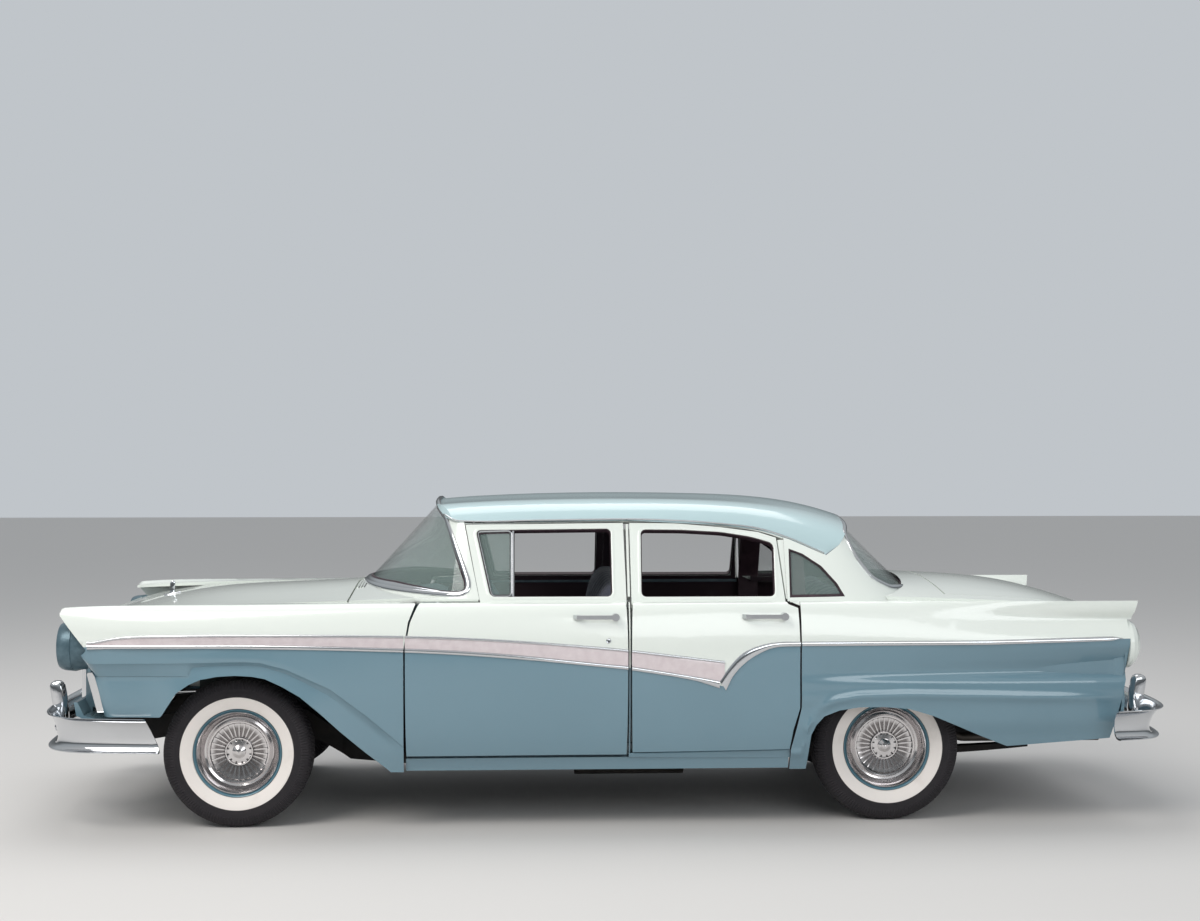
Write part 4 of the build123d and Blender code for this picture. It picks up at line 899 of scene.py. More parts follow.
@dataclass(frozen=True)
class Tyre:
    """One tyre with grooved tread, rounded shoulders and a raised white band, spun about its axle."""

    axle: Axle
    look: Look
    half: tuple[Pair, ...] = mm(
        (60, 188.5), (66, 195), (71, 198.5), (76.5, 201), (80, 210), (89, 233), (94.5, 250), (95, 253.5),
        (93.8, 255), (94.5, 262), (94, 276), (90.5, 295), (85, 310), (79, 320), (70, 327.5), (61, 331.5),
        (59.5, 325), (56, 325), (54.5, 332.5), (36, 334), (34.5, 326.5), (30.5, 326.5), (29, 334.3),
        (11, 334.8), (9.5, 327), (5.5, 327), (4, 335),
    )

    def build(self) -> None:
        """Makes the tyre and hides its CAD node."""
        profile = [*self.half, *((-w, r) for w, r in reversed(self.half)), self.half[0]]
        centre = Vector((self.axle.x, self.axle.y, AXLE_Z))
        form = turned(profile, centre, Vector((0, 1, 0)), 120)
        tyre = piece(f"tread_{self.axle.name}", form, self.look, f"wheel_{self.axle.name}", 30)
        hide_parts(f"tyre_{self.axle.name}")


@dataclass(frozen=True)
class Bumper:
    """One bumper: a curved face bar in one run from corner to corner, guards, brackets and bolts."""

    name: str
    bright: Look
    dark: Look
    plan: tuple[Pair, ...]
    facing: int
    end_slant: float
    guard_x: float
    bracket_x: float
    height: float = 0.435
    face: tuple[Pair, ...] = mm(
        (-79, -40), (-80, -22), (-76.5, -8), (-68, 1), (-55, 5.5), (-40, 6.5), (-15, 3.5), (12, -2), (34, -9),
        (50, -15), (60, -19), (66, -22.5), (72.5, -30), (75.5, -40), (76.5, -47), (73.5, -48), (70, -38),
        (60, -25.5), (30, -13), (-15, -1), (-40, 2), (-62, -4), (-74, -16), (-75, -40),
    )
    guard_side: tuple[tuple[float, float, float, float], ...] = mm(
        (356, 0, 12, 22), (366, 14, 16, 29), (380, 22, 20, 32), (420, 27, 26, 33), (460, 28, 34, 33),
        (520, 23, 44, 32), (570, 17, 52, 31), (600, 11, 56, 30), (614, 3, 51, 27), (622, -7, 38, 20),
    )
    guard_y: float = 0.47
    bracket_span: Pair = (0.405, 0.455)
    bolts_y: Pair = (0.3, 0.68)

    def bar(self) -> bpy.types.Object:
        """Makes the face bar."""
        half = [Vector((x, y * self.facing, self.height)) for x, y in self.plan]
        run = smooth_run([Vector((p.x, -p.y, p.z)) for p in reversed(half)] + half[1:], 121)
        last = len(run) - 1
        alongs = [(run[min(i + 1, last)] - run[max(i - 1, 0)]).normalized() for i in range(last + 1)]
        ups = [UPWARD.cross(along) for along in alongs]
        form = sweep(run, ups, self.face)
        spots = [abs(p.x) for p in run]
        ends = max(spots) - min(spots)
        for vertex in form.verts:
            near = max(0.0, 1 - (abs(vertex.co.x) - min(spots)) / (ends * 0.45))
            vertex.co.x += self.facing * near * self.end_slant * (vertex.co.z - self.height)
        bmesh.ops.recalc_face_normals(form, faces=form.faces)
        return piece(f"{self.name}_bar", form, self.bright, angle=50)

    def guards(self) -> None:
        """Makes the two upright guards."""
        for side, side_name in SIDE_NAMES.items():
            rings = []
            for z, front, back, half in self.guard_side:
                ring = []
                for turn in even(0.0, 2 * math.pi, 20)[:-1]:
                    reach, wide = (math.copysign(abs(v) ** 0.55, v) for v in (math.cos(turn), math.sin(turn)))
                    depth = -back + (front + back) * (0.5 + 0.5 * reach)
                    x = self.guard_x - self.facing * depth
                    ring.append(Vector((x, side * self.guard_y + wide * half, z)))
                rings.append(ring)
            piece(f"{self.name}_guard_{side_name}", shell(rings), self.bright, angle=50)

    def fixings(self, skin: Skin) -> None:
        """Makes the brackets that carry the bar, and the domed bolt heads in its face."""
        x0, x1 = sorted((self.guard_x + self.facing * 0.004, self.bracket_x))
        inner, outer = self.bracket_span
        dome = mm((-4, 15), (1, 15), (4, 12.5), (6.5, 8), (7.5, 0))
        for side, side_name in SIDE_NAMES.items():
            low, high = (x0, side * inner, self.height - 0.064), (x1, side * outer, self.height - 0.035)
            piece(f"{self.name}_bracket_{side_name}", block(low, high, 0.004, 2), self.dark)
            for index, y in enumerate(self.bolts_y):
                ahead = Vector((self.facing * 5.0, side * y, self.height))
                form = turned(dome, *skin.hit(ahead, Vector((-self.facing, 0, 0))), 20)
                piece(f"{self.name}_bolt_{side_name}_{index}", form, self.bright)

    def build(self) -> None:
        """Makes the bumper and hides its CAD node."""
        bar = self.bar()
        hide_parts(self.name)
        self.guards()
        self.fixings(Skin(bar.data))


@dataclass(frozen=True)
class FenderSkin:
    """The front fenders' lower skin, with the crease that sweeps from the nose over the wheel."""

    look: Look
    seam_at: Pair = (-0.93, 0.812)
    seam_fall: float = 0.0143
    stations: tuple[tuple[float, float, float, float, float], ...] = mm(
        (-2480, 835, 862, 868, 886), (-2250, 880, 908, 914, 926), (-1800, 918, 944, 950, 954),
        (-1250, 940, 960, 964, 962), (-600, 943, 963, 967, 963),
    )
    heights: tuple[float, ...] = (0.4, 0.592, 0.7, 0.835)
    crease: tuple[Pair, ...] = mm(
        (-2380, 745), (-2262, 747), (-2080, 749), (-1900, 751), (-1760, 755), (-1640, 757), (-1562, 753),
        (-1450, 724), (-1255, 636), (-1100, 519), (-1000, 434), (-931, 372),
    )
    nose: tuple[Pair, ...] = mm((509, -2260), (681, -2299), (782, -2362), (808, -2362), (812, -2600))
    lower_crease: tuple[Pair, ...] = mm((-2380, 690), (-2262, 692), (-2000, 694), (-1860, 695))
    foot: tuple[Pair, ...] = mm(
        (-2360.5, 782), (-2298.5, 681), (-2260, 510.5), (-2010, 510.5), (-2001, 518), (-1935, 619),
        (-1880, 656), (-1826, 680), (-1750, 694), (-1673, 698), (-1600, 694), (-1541, 683), (-1464, 647),
        (-1388, 602), (-1300, 528), (-1213, 447), (-1100, 350), (-1016, 283), (-988, 259.5), (-931, 259.5),
    )

    def line(self, points: Sequence[Pair], x: float) -> float:
        """The height of a polyline at x, level past its ends."""
        if x <= points[0][0]:
            return points[0][1]
        for (xa, za), (xb, zb) in zip(points, points[1:]):
            if x <= xb:
                return za + (zb - za) * (x - xa) / (xb - xa)
        return points[-1][1]

    def between(self, table: Sequence[tuple[float, ...]], x: float) -> list[float]:
        """The widths at x, from a table of rows that each start with their own x."""
        for a, b in zip(table, table[1:]):
            if x <= b[0]:
                break
        share = (x - a[0]) / (b[0] - a[0])
        return [p + (q - p) * share for p, q in zip(a[1:], b[1:])]

    def width(self, x: float, z: float) -> float:
        """Half the body's width at (x, z), with no crease."""
        widths = self.between(self.stations, x)
        total = 0.0
        for i, (zi, wi) in enumerate(zip(self.heights, widths)):
            term = wi
            for j, zj in enumerate(self.heights):
                if j != i:
                    term *= (max(z, 0.36) - zj) / (zi - zj)
            total += term
        return total - max(0.0, 0.36 - z) * 0.22

    def seam(self, x: float) -> float:
        """The height at which the lower skin meets the panel's upper part, behind the trim."""
        x0, z0 = self.seam_at
        return z0 - self.seam_fall * (x - x0)

    def column(self, x: float) -> list[Pair]:
        """The heights and depths of one upright row of points, from the top down, then the back."""
        foot = self.line(self.foot, x)
        top = self.seam(x) + 0.002
        if x < NOSE_CUT - 0.004:
            top = max(foot + 0.002, min(top, 0.783 + (x + 2.362) * 0.79))
        fold = max(self.line(self.crease, x), foot + 0.006)
        fade = held((-0.934 - x) / 0.1) * min(1.0, 0.35 + max(0.0, (x + 2.36) / 0.05))
        rows = [(top, -0.001), (top - 0.001, 0.0), (top - 0.03, 0.0008), (fold + 0.03, 0.0022),
                (fold + 0.01, 0.003), (fold + 0.003, 0.0024), (fold, 0.0)]
        if x < -1.87:
            second = self.line(self.lower_crease, x)
            blend = held((-1.87 - x) / 0.05)
            deep = 0.0125 + 0.0085 * min(1.0, (-1.87 - x) / 0.25)
            rows += [(fold + (second - fold) * s, -deep * s**0.8) for s in (0.2, 0.4, 0.7, 1.0)]
            step, tail = 0.0035 * blend, second - 0.004
            rows += [(second - 0.0015, -deep - step), (tail, -deep - 0.0003 - step)]
            for i in range(1, 9):
                rows.append((tail + (foot - tail) * i / 8, -deep - 0.0035 + (deep - 0.0065) * i / 8))
        else:
            span = fold - foot
            for s in (0.04, 0.09, 0.15, 0.22, 0.3, 0.38, 0.46, 0.54, 0.62, 0.7, 0.78, 0.86, 0.94, 1.0):
                depth = -0.0155 * min(1.0, s / 0.22) ** 0.7 + 0.0105 * max(0.0, s - 0.22) / 0.78
                rows.append((fold - span * s, depth))
        result: list[Pair] = []
        for z, depth in rows:
            z = min(max(z, foot), result[-1][0] if result else top)
            result.append((z, depth * (fade if depth < 0 else 1.0)))
        return result + [(foot, -0.034), (top, -0.034)]

    def stations_of(self, line: Sequence[Pair], step: float) -> list[float]:
        """The x of a polyline's corners, and of even steps of about this length between them."""
        xs: list[float] = []
        for (x0, _), (x1, _) in zip(line, line[1:]):
            xs += even(x0, x1 - x0, max(1, int((x1 - x0) / step)))[:-1]
        return xs + [line[-1][0]]

    def upper(self, node: str, name: str, *cuts: tuple[Triple, Triple]) -> bpy.types.Object:
        """Keeps the part of a CAD panel above the seam, cut off along the seam and other planes."""
        form = cad_form(node)
        x0, z0 = self.seam_at
        for spot, normal in (((x0, 0, z0), (self.seam_fall, 0, 1)), *cuts):
            everything = form.verts[:] + form.edges[:] + form.faces[:]
            bmesh.ops.bisect_plane(form, geom=everything, dist=1e-6, plane_co=spot, plane_no=normal)
        gone = []
        for face in form.faces:
            middle = face.calc_center_median()
            if middle.z < self.seam(middle.x) and (middle.x > NOSE_CUT or middle.z < 0.8):
                gone.append(face)
        bmesh.ops.delete(form, geom=gone, context="FACES")
        return piece(name, form, self.look._replace(slot=Slot.PAINT_WHITE), angle=30)

    def build(self) -> None:
        """Makes the skins of both sides and keeps the CAD fenders' upper parts, with the brow."""
        rows = []
        for x in self.stations_of(self.foot, 0.016):
            row = []
            for z, depth in self.column(x):
                near = held((x - self.line(self.nose, z)) / 0.045)
                tuck = 0.03 * (1 - math.sqrt(1 - (1 - near) ** 2))
                row.append((x, self.width(x, z) + depth - tuck + 0.0004, z))
            rows.append(row)
        both_sides("front_fender_skin", self.look, rows, 28)
        cut = (NOSE_CUT, 0, 0), (1, 0, 0)
        for side_name in SIDE_NAMES.values():
            upper = self.upper(f"front_fender_{side_name}", f"front_fender_upper_{side_name}", cut)
            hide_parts(f"front_fender_{side_name}")


@dataclass(frozen=True)
class QuarterSkin(FenderSkin):
    """The rear quarters' lower skin: the hollow below the moulding, the bulge and the wheel arch's ridge."""

    spans: tuple[tuple[float, float, float, float, float], ...] = mm(
        (803, 961, 960, 962, 941), (850, 961, 960, 962, 941), (1350, 956, 938, 957, 928),
        (1850, 938, 897, 936, 900), (2200, 915, 853, 904, 868), (2440, 898, 815, 873, 836),
    )
    ridge: tuple[Pair, ...] = mm(
        (856, 333), (878, 452), (900, 495), (935, 540), (1007, 575), (1115, 593), (1331, 597), (1654, 588),
        (2194, 571), (2364, 566),
    )
    arch: tuple[Pair, ...] = (
        (0.803, 0.255), (0.8479, 0.255), (0.8481, 0.255), (0.8775, 0.255), (0.88, 0.28), (0.886, 0.345),
        (0.894, 0.416), (0.916, 0.462), (0.952, 0.501), (1.02, 0.527), (1.111, 0.54), (1.22, 0.541),
        (1.338, 0.531), (1.45, 0.497), (1.568, 0.447), (1.68, 0.398), (1.798, 0.351), (2.285, 0.379),
        (2.35, 0.649), (2.363, 0.69),
    )
    seam_at: Pair = (0.85, 0.8225)
    seam_fall: float = -0.0108
    steps: int = 72

    def section(self, x: float) -> list[Vector]:
        """The upright section at x, as points of (width, 0, height)."""
        trim, waist, bulge, belly = self.between(self.spans, x)
        hollow, out = trim - waist, bulge - waist
        return smooth_run(
            [(trim, 0.835), (trim - hollow * 0.1, 0.8), (trim - hollow * 0.52, 0.748), (waist, 0.7),
             (waist + out * 0.12, 0.68), (waist + out * 0.84, 0.656), (bulge, 0.622), (bulge + 0.001, 0.575),
             (bulge - 0.005, 0.535), ((bulge + belly) / 2 + 0.003, 0.465), (belly, 0.4), (belly - 0.02, 0.33),
             (belly - 0.055, 0.25)], 120)

    def bump(self, x: float, z: float) -> float:
        """How far the ridge stands proud at (x, z)."""
        over = z - self.line(self.ridge, x)
        fade = held((2.34 - x) / 0.3)
        if over > 0:
            return 0.0075 * fade * math.exp(-((over / 0.016) ** 2))
        return fade * (0.0075 - 0.0105 * (1 - math.exp(-((over / 0.02) ** 2))))

    def build(self) -> None:
        """Makes the skins of both sides and keeps the CAD quarters' upper parts."""
        rows = []
        for x in self.stations_of(self.arch, 0.014):
            line = self.section(x)
            foot = self.line(self.arch, x)
            top = 0.347 + (x - 0.803) * 4.27 if x < 0.848 else self.seam(x) + 0.0005
            row = []
            for i in range(self.steps + 1):
                z = min(max(0.84 - (0.84 - 0.255) * i / self.steps, foot), top)
                k = next((j for j in range(len(line) - 1) if line[j + 1].z <= z), len(line) - 2)
                a, b = line[k], line[k + 1]
                width = a.x + (b.x - a.x) * held((a.z - z) / max(a.z - b.z, 1e-9))
                row.append((x, width + self.bump(x, z), z))
            rows.append(row + [(x, row[-1][1] - 0.03, foot), (x, row[0][1] - 0.03, top)])
        both_sides("quarter_skin", self.look, rows, 40)
        for side_name in SIDE_NAMES.values():
            upper = self.upper(f"quarter_panel_{side_name}", f"quarter_upper_{side_name}")
            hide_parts(f"quarter_panel_{side_name}")


@dataclass(frozen=True)
class LampTrim:
    """The headlamps' deep bezels, bright rings and domed lenses, and the taillamps' bright rims."""

    look: Look
    bright: Look
    bezel: Look
    hood: tuple[Pair, ...] = mm(
        (-2335, 96), (-2335, 103.5), (-2386, 107), (-2404, 112.5), (-2409, 112.8), (-2411.5, 109.8),
        (-2414, 112), (-2448, 109), (-2466, 104), (-2473.5, 98.5), (-2475.5, 93), (-2470, 89), (-2445, 85.5),
        (-2440, 84), (-2430, 84.5), (-2370, 90), (-2335, 96),
    )
    ring: tuple[Pair, ...] = mm(
        (-2444, 88), (-2448.5, 86.2), (-2449.5, 83), (-2447, 79.5), (-2442, 78.5), (-2438, 88), (-2444, 88),
    )

    def build(self) -> None:
        """Makes the parts of all four lamps and hides the headlamps' CAD node."""
        radii = (0.0795, 0.075, 0.068, 0.058, 0.046, 0.032, 0.016, 0.0)
        lens = [(-2.44, 0.0805)] + [(-2.443 - 0.017 * math.sqrt(1 - (r / 0.082) ** 2), r) for r in radii]
        turns = [math.pi * i / 4 for i in range(9)]
        rim = [(2.4165 + 0.0045 * math.cos(t), 0.061 + 0.0045 * math.sin(t)) for t in turns]
        for side, side_name in SIDE_NAMES.items():
            centre, tail = (Vector((0, side * y, z)) for y, z in (HEADLAMP, TAILLAMP))
            form = turned(self.hood, centre, BACKWARD, 96)
            hood = piece(f"headlamp_bezel_{side_name}", form, self.bezel, angle=28)
            if side < 0:
                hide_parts("headlamps")
            form = turned(self.ring, centre, BACKWARD, 96)
            piece(f"headlamp_ring_{side_name}", form, self.bright, angle=40)
            form = turned(lens, centre, BACKWARD, 64)
            piece(f"headlamp_lens_{side_name}", form, self.look, angle=40)
            piece(f"taillamp_rim_{side_name}", turned(rim, tail, BACKWARD, 64), self.bright)


@dataclass(frozen=True)
class Cushion:
    """One stuffed part of a seat: a rounded form, swollen by a cloth simulation and sewn in channels."""

    name: str
    look: Look
    outline: tuple[Pair, ...]
    half: float
    seams: tuple[float, ...]
    cap: float = 0.018
    cloth_frames: int = 20
    pressure: float = 4.0
    voxel: float = 0.016
    seam_width: float = 0.011
    seam_depth: float = 0.008

    def form(self) -> bmesh.types.BMesh:
        """Makes the slack form before it is swollen."""
        outline = rounded(self.outline, 0.055, 7)
        middle = sum(outline, Vector()) / len(outline)
        rings = []
        for y in even(-self.half, 2 * self.half, 48):
            edge = max(0.0, 1 - (self.half - abs(y)) / 0.06)
            pull = 1 - 0.22 * edge**2.5
            ring = [middle + (p - middle) * pull for p in outline]
            rings.append([Vector((p.x, y, p.z)) for p in ring])
        return shell(rings)

    def baked(self, item: bpy.types.Object) -> bpy.types.Mesh:
        """The object's mesh with its modifiers applied."""
        bpy.context.view_layer.update()
        graph = bpy.context.evaluated_depsgraph_get()
        return bpy.data.meshes.new_from_object(item.evaluated_get(graph), depsgraph=graph)

    def finish(self, item: bpy.types.Object, mesh: bpy.types.Mesh) -> None:
        """Gives the object a new mesh without modifiers."""
        item.modifiers.clear()
        item.data = mesh

    def swell(self, item: bpy.types.Object) -> None:
        """Swells the cushion with the cloth simulation, each point moving no further than the cap."""
        before = [v.co.copy() for v in item.data.vertices]
        cloth = item.modifiers.new("cloth", "CLOTH")
        cloth.settings.use_pressure = True
        cloth.settings.uniform_pressure_force = self.pressure
        cloth.settings.effector_weights.gravity = 0.0
        cloth.settings.quality = 4
        scene = bpy.context.scene
        for step in range(1, self.cloth_frames + 1):
            scene.frame_set(step)
        mesh = self.baked(item)
        for vertex, start in zip(mesh.vertices, before):
            move = vertex.co - start
            if move.length > self.cap:
                vertex.co = start + move * (self.cap / move.length)
        self.finish(item, mesh)
        scene.frame_set(1)

    def sew(self, item: bpy.types.Object) -> None:
        """Presses the sewn channels in."""
        normals = [vertex.normal.copy() for vertex in item.data.vertices]
        for vertex, normal in zip(item.data.vertices, normals):
            press = sum(math.exp(-(((vertex.co.y - seam) / self.seam_width) ** 2)) for seam in self.seams)
            vertex.co -= normal * (self.seam_depth * min(press, 1.0))

    def build(self) -> bpy.types.Object:
        """Makes the cushion."""
        item = piece(self.name, self.form(), self.look, angle=60)
        remesh = item.modifiers.new("remesh", "REMESH")
        remesh.mode = "VOXEL"
        remesh.voxel_size = self.voxel
        remesh.use_smooth_shade = True
        self.finish(item, self.baked(item))
        self.swell(item)
        smooth = item.modifiers.new("smooth", "SUBSURF")
        smooth.levels = 1
        smooth.render_levels = 1
        self.finish(item, self.baked(item))
        self.sew(item)
        for face in item.data.polygons:
            face.use_smooth = True
        return item


@dataclass(frozen=True)
class Cabin:
    """The seats, the doors' inner trim, the dials and the trim of the rear posts."""

    bright: Look
    cloth: Look
    vinyl: Look
    pale: Look
    dial: Look

    def bench(self, stem: str, half: float, seams: Sequence[float], cushion: Sequence[Pair],
              back: Sequence[Pair]) -> bpy.types.Object:
        """Makes the two cushions of a bench and gives the lower one."""
        lower = Cushion(f"{stem}_cushion", self.cloth, cushion, half, seams).build()
        Cushion(f"{stem}_back", self.cloth, back, half, seams).build()
        return lower

    def seats(self) -> None:
        """Makes both benches and hides their CAD nodes."""
        seams = tuple(-0.56 + 0.14 * i for i in range(9))
        cushion = mm((-550, 490), (-552, 622), (-100, 598), (-80, 490))
        back = mm((-125, 560), (-20, 1030), (5, 1088), (60, 1098), (118, 1080), (60, 560))
        front = self.bench("front_seat", 0.678, seams, cushion, back)
        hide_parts("front_seat")
        seams = tuple(-0.42 + 0.14 * i for i in range(7))
        cushion = mm((490, 490), (482, 626), (935, 598), (900, 590), (800, 490))
        back = mm((925, 585), (1060, 1020), (1125, 1048), (1178, 1030), (1090, 600))
        rear = self.bench("rear_seat", 0.535, seams, cushion, back)
        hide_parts("rear_seat")

    def door(self, stem: str, x0: float, x1: float) -> None:
        """Makes the inner trim of the doors of one pair."""
        sill = mm((-16, -4), (-16, 6), (-12, 11.5), (-4, 14), (8, 14), (14, 10), (16, 4), (16, -4))
        crank = mm((-2, 20), (4, 20), (9, 12), (16, 9), (18, 0))
        for side, side_name in SIDE_NAMES.items():
            node = f"{stem}_{side_name}"
            skin = Skin.of(node)
            inside = Vector((0, -side, 0))
            run = []
            for x in even(x0, x1 - x0, 24):
                spot, _ = skin.hit(Vector((x, 0, 0.93)), -inside)
                run.append(Vector((x, spot.y, 0.995)))
            piece(f"{node}_sill_trim", sweep(run, [inside] * len(run), sill), self.pale, node)
            face = run[12].y
            form = turned(crank, Vector((x0 + 0.16, face, 0.85)), inside, 24)
            piece(f"{node}_crank", form, self.bright, node)
            for part, look, (xa, xb), (ya, yb), (za, zb), edge in (
                ("armrest", self.vinyl, (0.22, 0.56), (0.0, 0.052), (0.772, 0.812), 0.013),
                ("crank_arm", self.bright, (0.152, 0.168), (0.012, 0.02), (0.77, 0.85), 0.0035),
            ):
                near, far = sorted((face - side * ya, face - side * yb))
                piece(f"{node}_{part}", block((x0 + xa, near, za), (x0 + xb, far, zb), edge), look, node)

    def dash(self) -> None:
        """Makes the two dials and the bright strip across the dashboard."""
        for name, y, radius in (("speed_dial", -0.37, 0.062), ("clock_dial", -0.13, 0.036)):
            centre = Vector((-0.796, y, 0.922))
            ring = [(-0.01, radius * 1.08), (0.01, radius * 1.08), (0.014, radius * 1.02),
                    (0.01, radius * 0.94), (0.004, radius * 0.9), (0.004, 0.0)]
            piece(f"{name}_ring", turned(ring, centre, BACKWARD, 48), self.bright)
            face = [(0.002, radius * 0.91), (0.006, radius * 0.9), (0.0065, 0.0)]
            piece(f"{name}_face", turned(face, centre, BACKWARD, 48), self.dial)
        run = [Vector((-0.7995, y, 0.884)) for y in even(-0.6, 1.2, 30)]
        piece("dash_strip", sweep(run, [BACKWARD] * len(run), dome_section(0.012, 0.006)), self.bright)

    def rear_posts(self) -> None:
        """Covers the joint between each rear door and the post behind it, on the cabin side."""
        section = mm((786, 0), (783, 4), (787, 7), (812, 8), (812, 36), (886, 36), (892, 4), (888, 0))
        rows = []
        for z in even(0.8, 0.455, 19):
            inner = min(0.808, BELT_W - GLASS_RUN * (z - BELT_Z) - 0.062)
            rows.append([(x, inner + out, z) for x, out in section])
        both_sides("rear_post_trim", self.vinyl, rows)

    def build(self) -> None:
        """Makes everything in the cabin."""
        self.seats()
        self.door("door_front", -0.86, 0.03)
        self.door("door_rear", 0.13, 0.78)
        self.dash()
        self.rear_posts()


@dataclass(frozen=True)
class Brightwork:
    """Small parts of the body: the fillers, tailpipe, hood ornament, cowl louvres and door locks."""

    bright: Look
    white: Look
    dark: Look
    blue: Look
    steel: Look
    fin: tuple[tuple[float, float, float, float], ...] = mm(
        (0, 20, 18, 8), (10, 13, 13, 5.5), (30, 10, 12, 4.5), (52, 11, 15, 4.5), (62, 6, 13, 3.5),
        (67, -2, 8, 1.5),
    )

    def ornament(self) -> None:
        """Makes the hood's ornament, from rows of height, reach ahead and behind, and half width."""
        skin = Skin.of("hood")
        run = [skin.above(x, 0.0)[0] for x in even(-2.16, 0.08, 12)]
        wide = [0.35 + 0.65 * math.sin(t) ** 0.6 for t in even(0.0, math.pi, 12)]
        form = sweep(run, [UPWARD] * len(run), dome_section(0.03, 0.007), scales=wide)
        piece("ornament_base", form, self.bright, "hood")
        middle = -2.122
        foot = skin.above(middle, 0.0)[0].z
        rings = []
        for z, fore, aft, half in self.fin:
            ring = []
            for turn in even(0.0, 2 * math.pi, 14)[:-1]:
                reach = math.cos(turn)
                x = middle - (fore if reach > 0 else aft) * reach
                ring.append(Vector((x, half * math.sin(turn), foot + z)))
            rings.append(ring)
        piece("ornament_fin", shell(rings), self.bright, "hood", 60)

    def louvres(self) -> None:
        """Makes the rows of air slats on the cowl, each with a dark strip of painted shade behind it."""
        skin = Skin.of("cowl")
        section = mm((-4.5, -4), (-4.5, 1.5), (-1.5, 4.5), (2.2, 6.2), (3, 5.5), (3, -4))
        shrink = [min(1.0, 0.45 + 0.55 * min(i, 16 - i) / 3) for i in range(17)]
        for side, side_name in SIDE_NAMES.items():
            for index in range(LOUVRES):
                run = [skin.above(-1.179 + 0.0125 * index, side * y)[0] for y in even(0.1, 0.3, 16)]
                ups = [UPWARD] * len(run)
                piece(f"louvre_{side_name}_{index}", sweep(run, ups, section, scales=shrink), self.white)
                # Painted shade: a thin dark strip just behind each slat stands for the shaded opening between
                # the slats.
                shade_run = [p + Vector((0.0062, 0, 0.0004)) for p in run]
                form = sweep(shade_run, ups, dome_section(0.005, 0.0014), scales=shrink)
                piece(f"louvre_gap_{side_name}_{index}", form, self.dark)

    def side_parts(self) -> None:
        """Makes the key locks, and fills the strips at the windshield's foot and along the roof's edge."""
        dome = mm((-2, 11.5), (2, 11.2), (4, 9.5), (3.5, 7.5), (5, 6.5), (5.5, 0))
        shelf = mm((-7.5, -30), (-7.5, 24), (-4, 27), (6, 25.5), (8.5, 22), (8.5, -30))
        strip = mm((-3.4, -22), (-3.4, -1), (-2, 0), (2, 0), (3.4, -1), (3.4, -22))
        edge = [Vector((p.x, 0, p.z - 0.0052)) for p in smooth_run(Glazing.drip, 90) if -0.69 <= p.x <= 0.9]
        for side, side_name in SIDE_NAMES.items():
            door = f"door_front_{side_name}"
            form = turned(dome, *Skin.of(door).side(-0.019, 0.846, side), 24)
            piece(f"lock_{side_name}", form, self.bright, door)
            run = [Vector((x, side * 0.838, 1.0225)) for x in even(-0.884, 0.284, 14)]
            piece(f"scuttle_{side_name}", sweep(run, [Vector((0, side, 0))] * len(run), shelf), self.white)
            piece(f"roof_strip_{side_name}", sweep(*on_glass(edge, side, 0.01), strip), self.white)
            rings = []
            for z in even(1.024, 0.262, 12):
                x0, x1 = 0.793 - (z - 1.0) * 0.085, 0.808
                section = ((x0, 0.03), (x0, 0.008), (x0 + 0.002, 0.005), (x1, 0.003), (x1, 0.03))
                rings.append([glass_point(x, z, side, depth)[0] for x, depth in section])
            piece(f"post_strip_{side_name}", shell(rings), self.white)

    def fillers(self) -> None:
        """Fills the corner ahead of each rear quarter and the strip between the rear door and the rocker."""
        rows = []
        for i in range(7):
            x = 0.804 + 0.044 * i / 6
            low = 1.0125 - 0.0175 * i / 6
            section = ((0.8, low), (0.9035 - (low - 0.993) * 0.65, low), (0.8945, 1.0095), (0.887, 1.0135),
                       (0.86, 1.015), (0.8, 1.015))
            rows.append([(x, w, z) for w, z in section])
        both_sides("corner_fill", self.white, rows)
        rows = []
        for share in even(0.0, 1.0, 12):
            x = 0.074 + 0.728 * share
            low, top = 0.32 - 0.009 * share, 0.3375 + 0.011 * share
            wide = 0.9165 - 0.012 * share
            section = ((0.86, low), (wide, low), (wide + 0.006, top - 0.004), (wide + 0.004, top),
                       (0.86, top))
            rows.append([(x, w, z) for w, z in section])
        both_sides("rocker_strip", self.blue, rows)

    def tailpipe(self) -> None:
        """Lifts the exhaust's tail behind the axle, out of sight from the side."""
        form = cad_form("exhaust")
        for vertex in form.verts:
            vertex.co.z += 0.04 * held((vertex.co.x - 1.5) / 0.2)
        pipe = piece("tailpipe", form, self.steel, angle=40)
        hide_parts("exhaust")

    def build(self) -> None:
        """Makes all of them."""
        self.fillers()
        self.tailpipe()
        self.ornament()
        self.louvres()
        self.side_parts()


def inward(finish: Finish) -> Sock:
    """Gives 1 on faces that look into the cabin, and 0 on those that look out."""
    x, y, _ = finish.axes()
    normal_x, normal_y, _ = finish.axes("Normal")
    return ((normal_x * (x - 0.1) * 0.7 + normal_y * y) * -1.0 - 0.12).held(20.0)


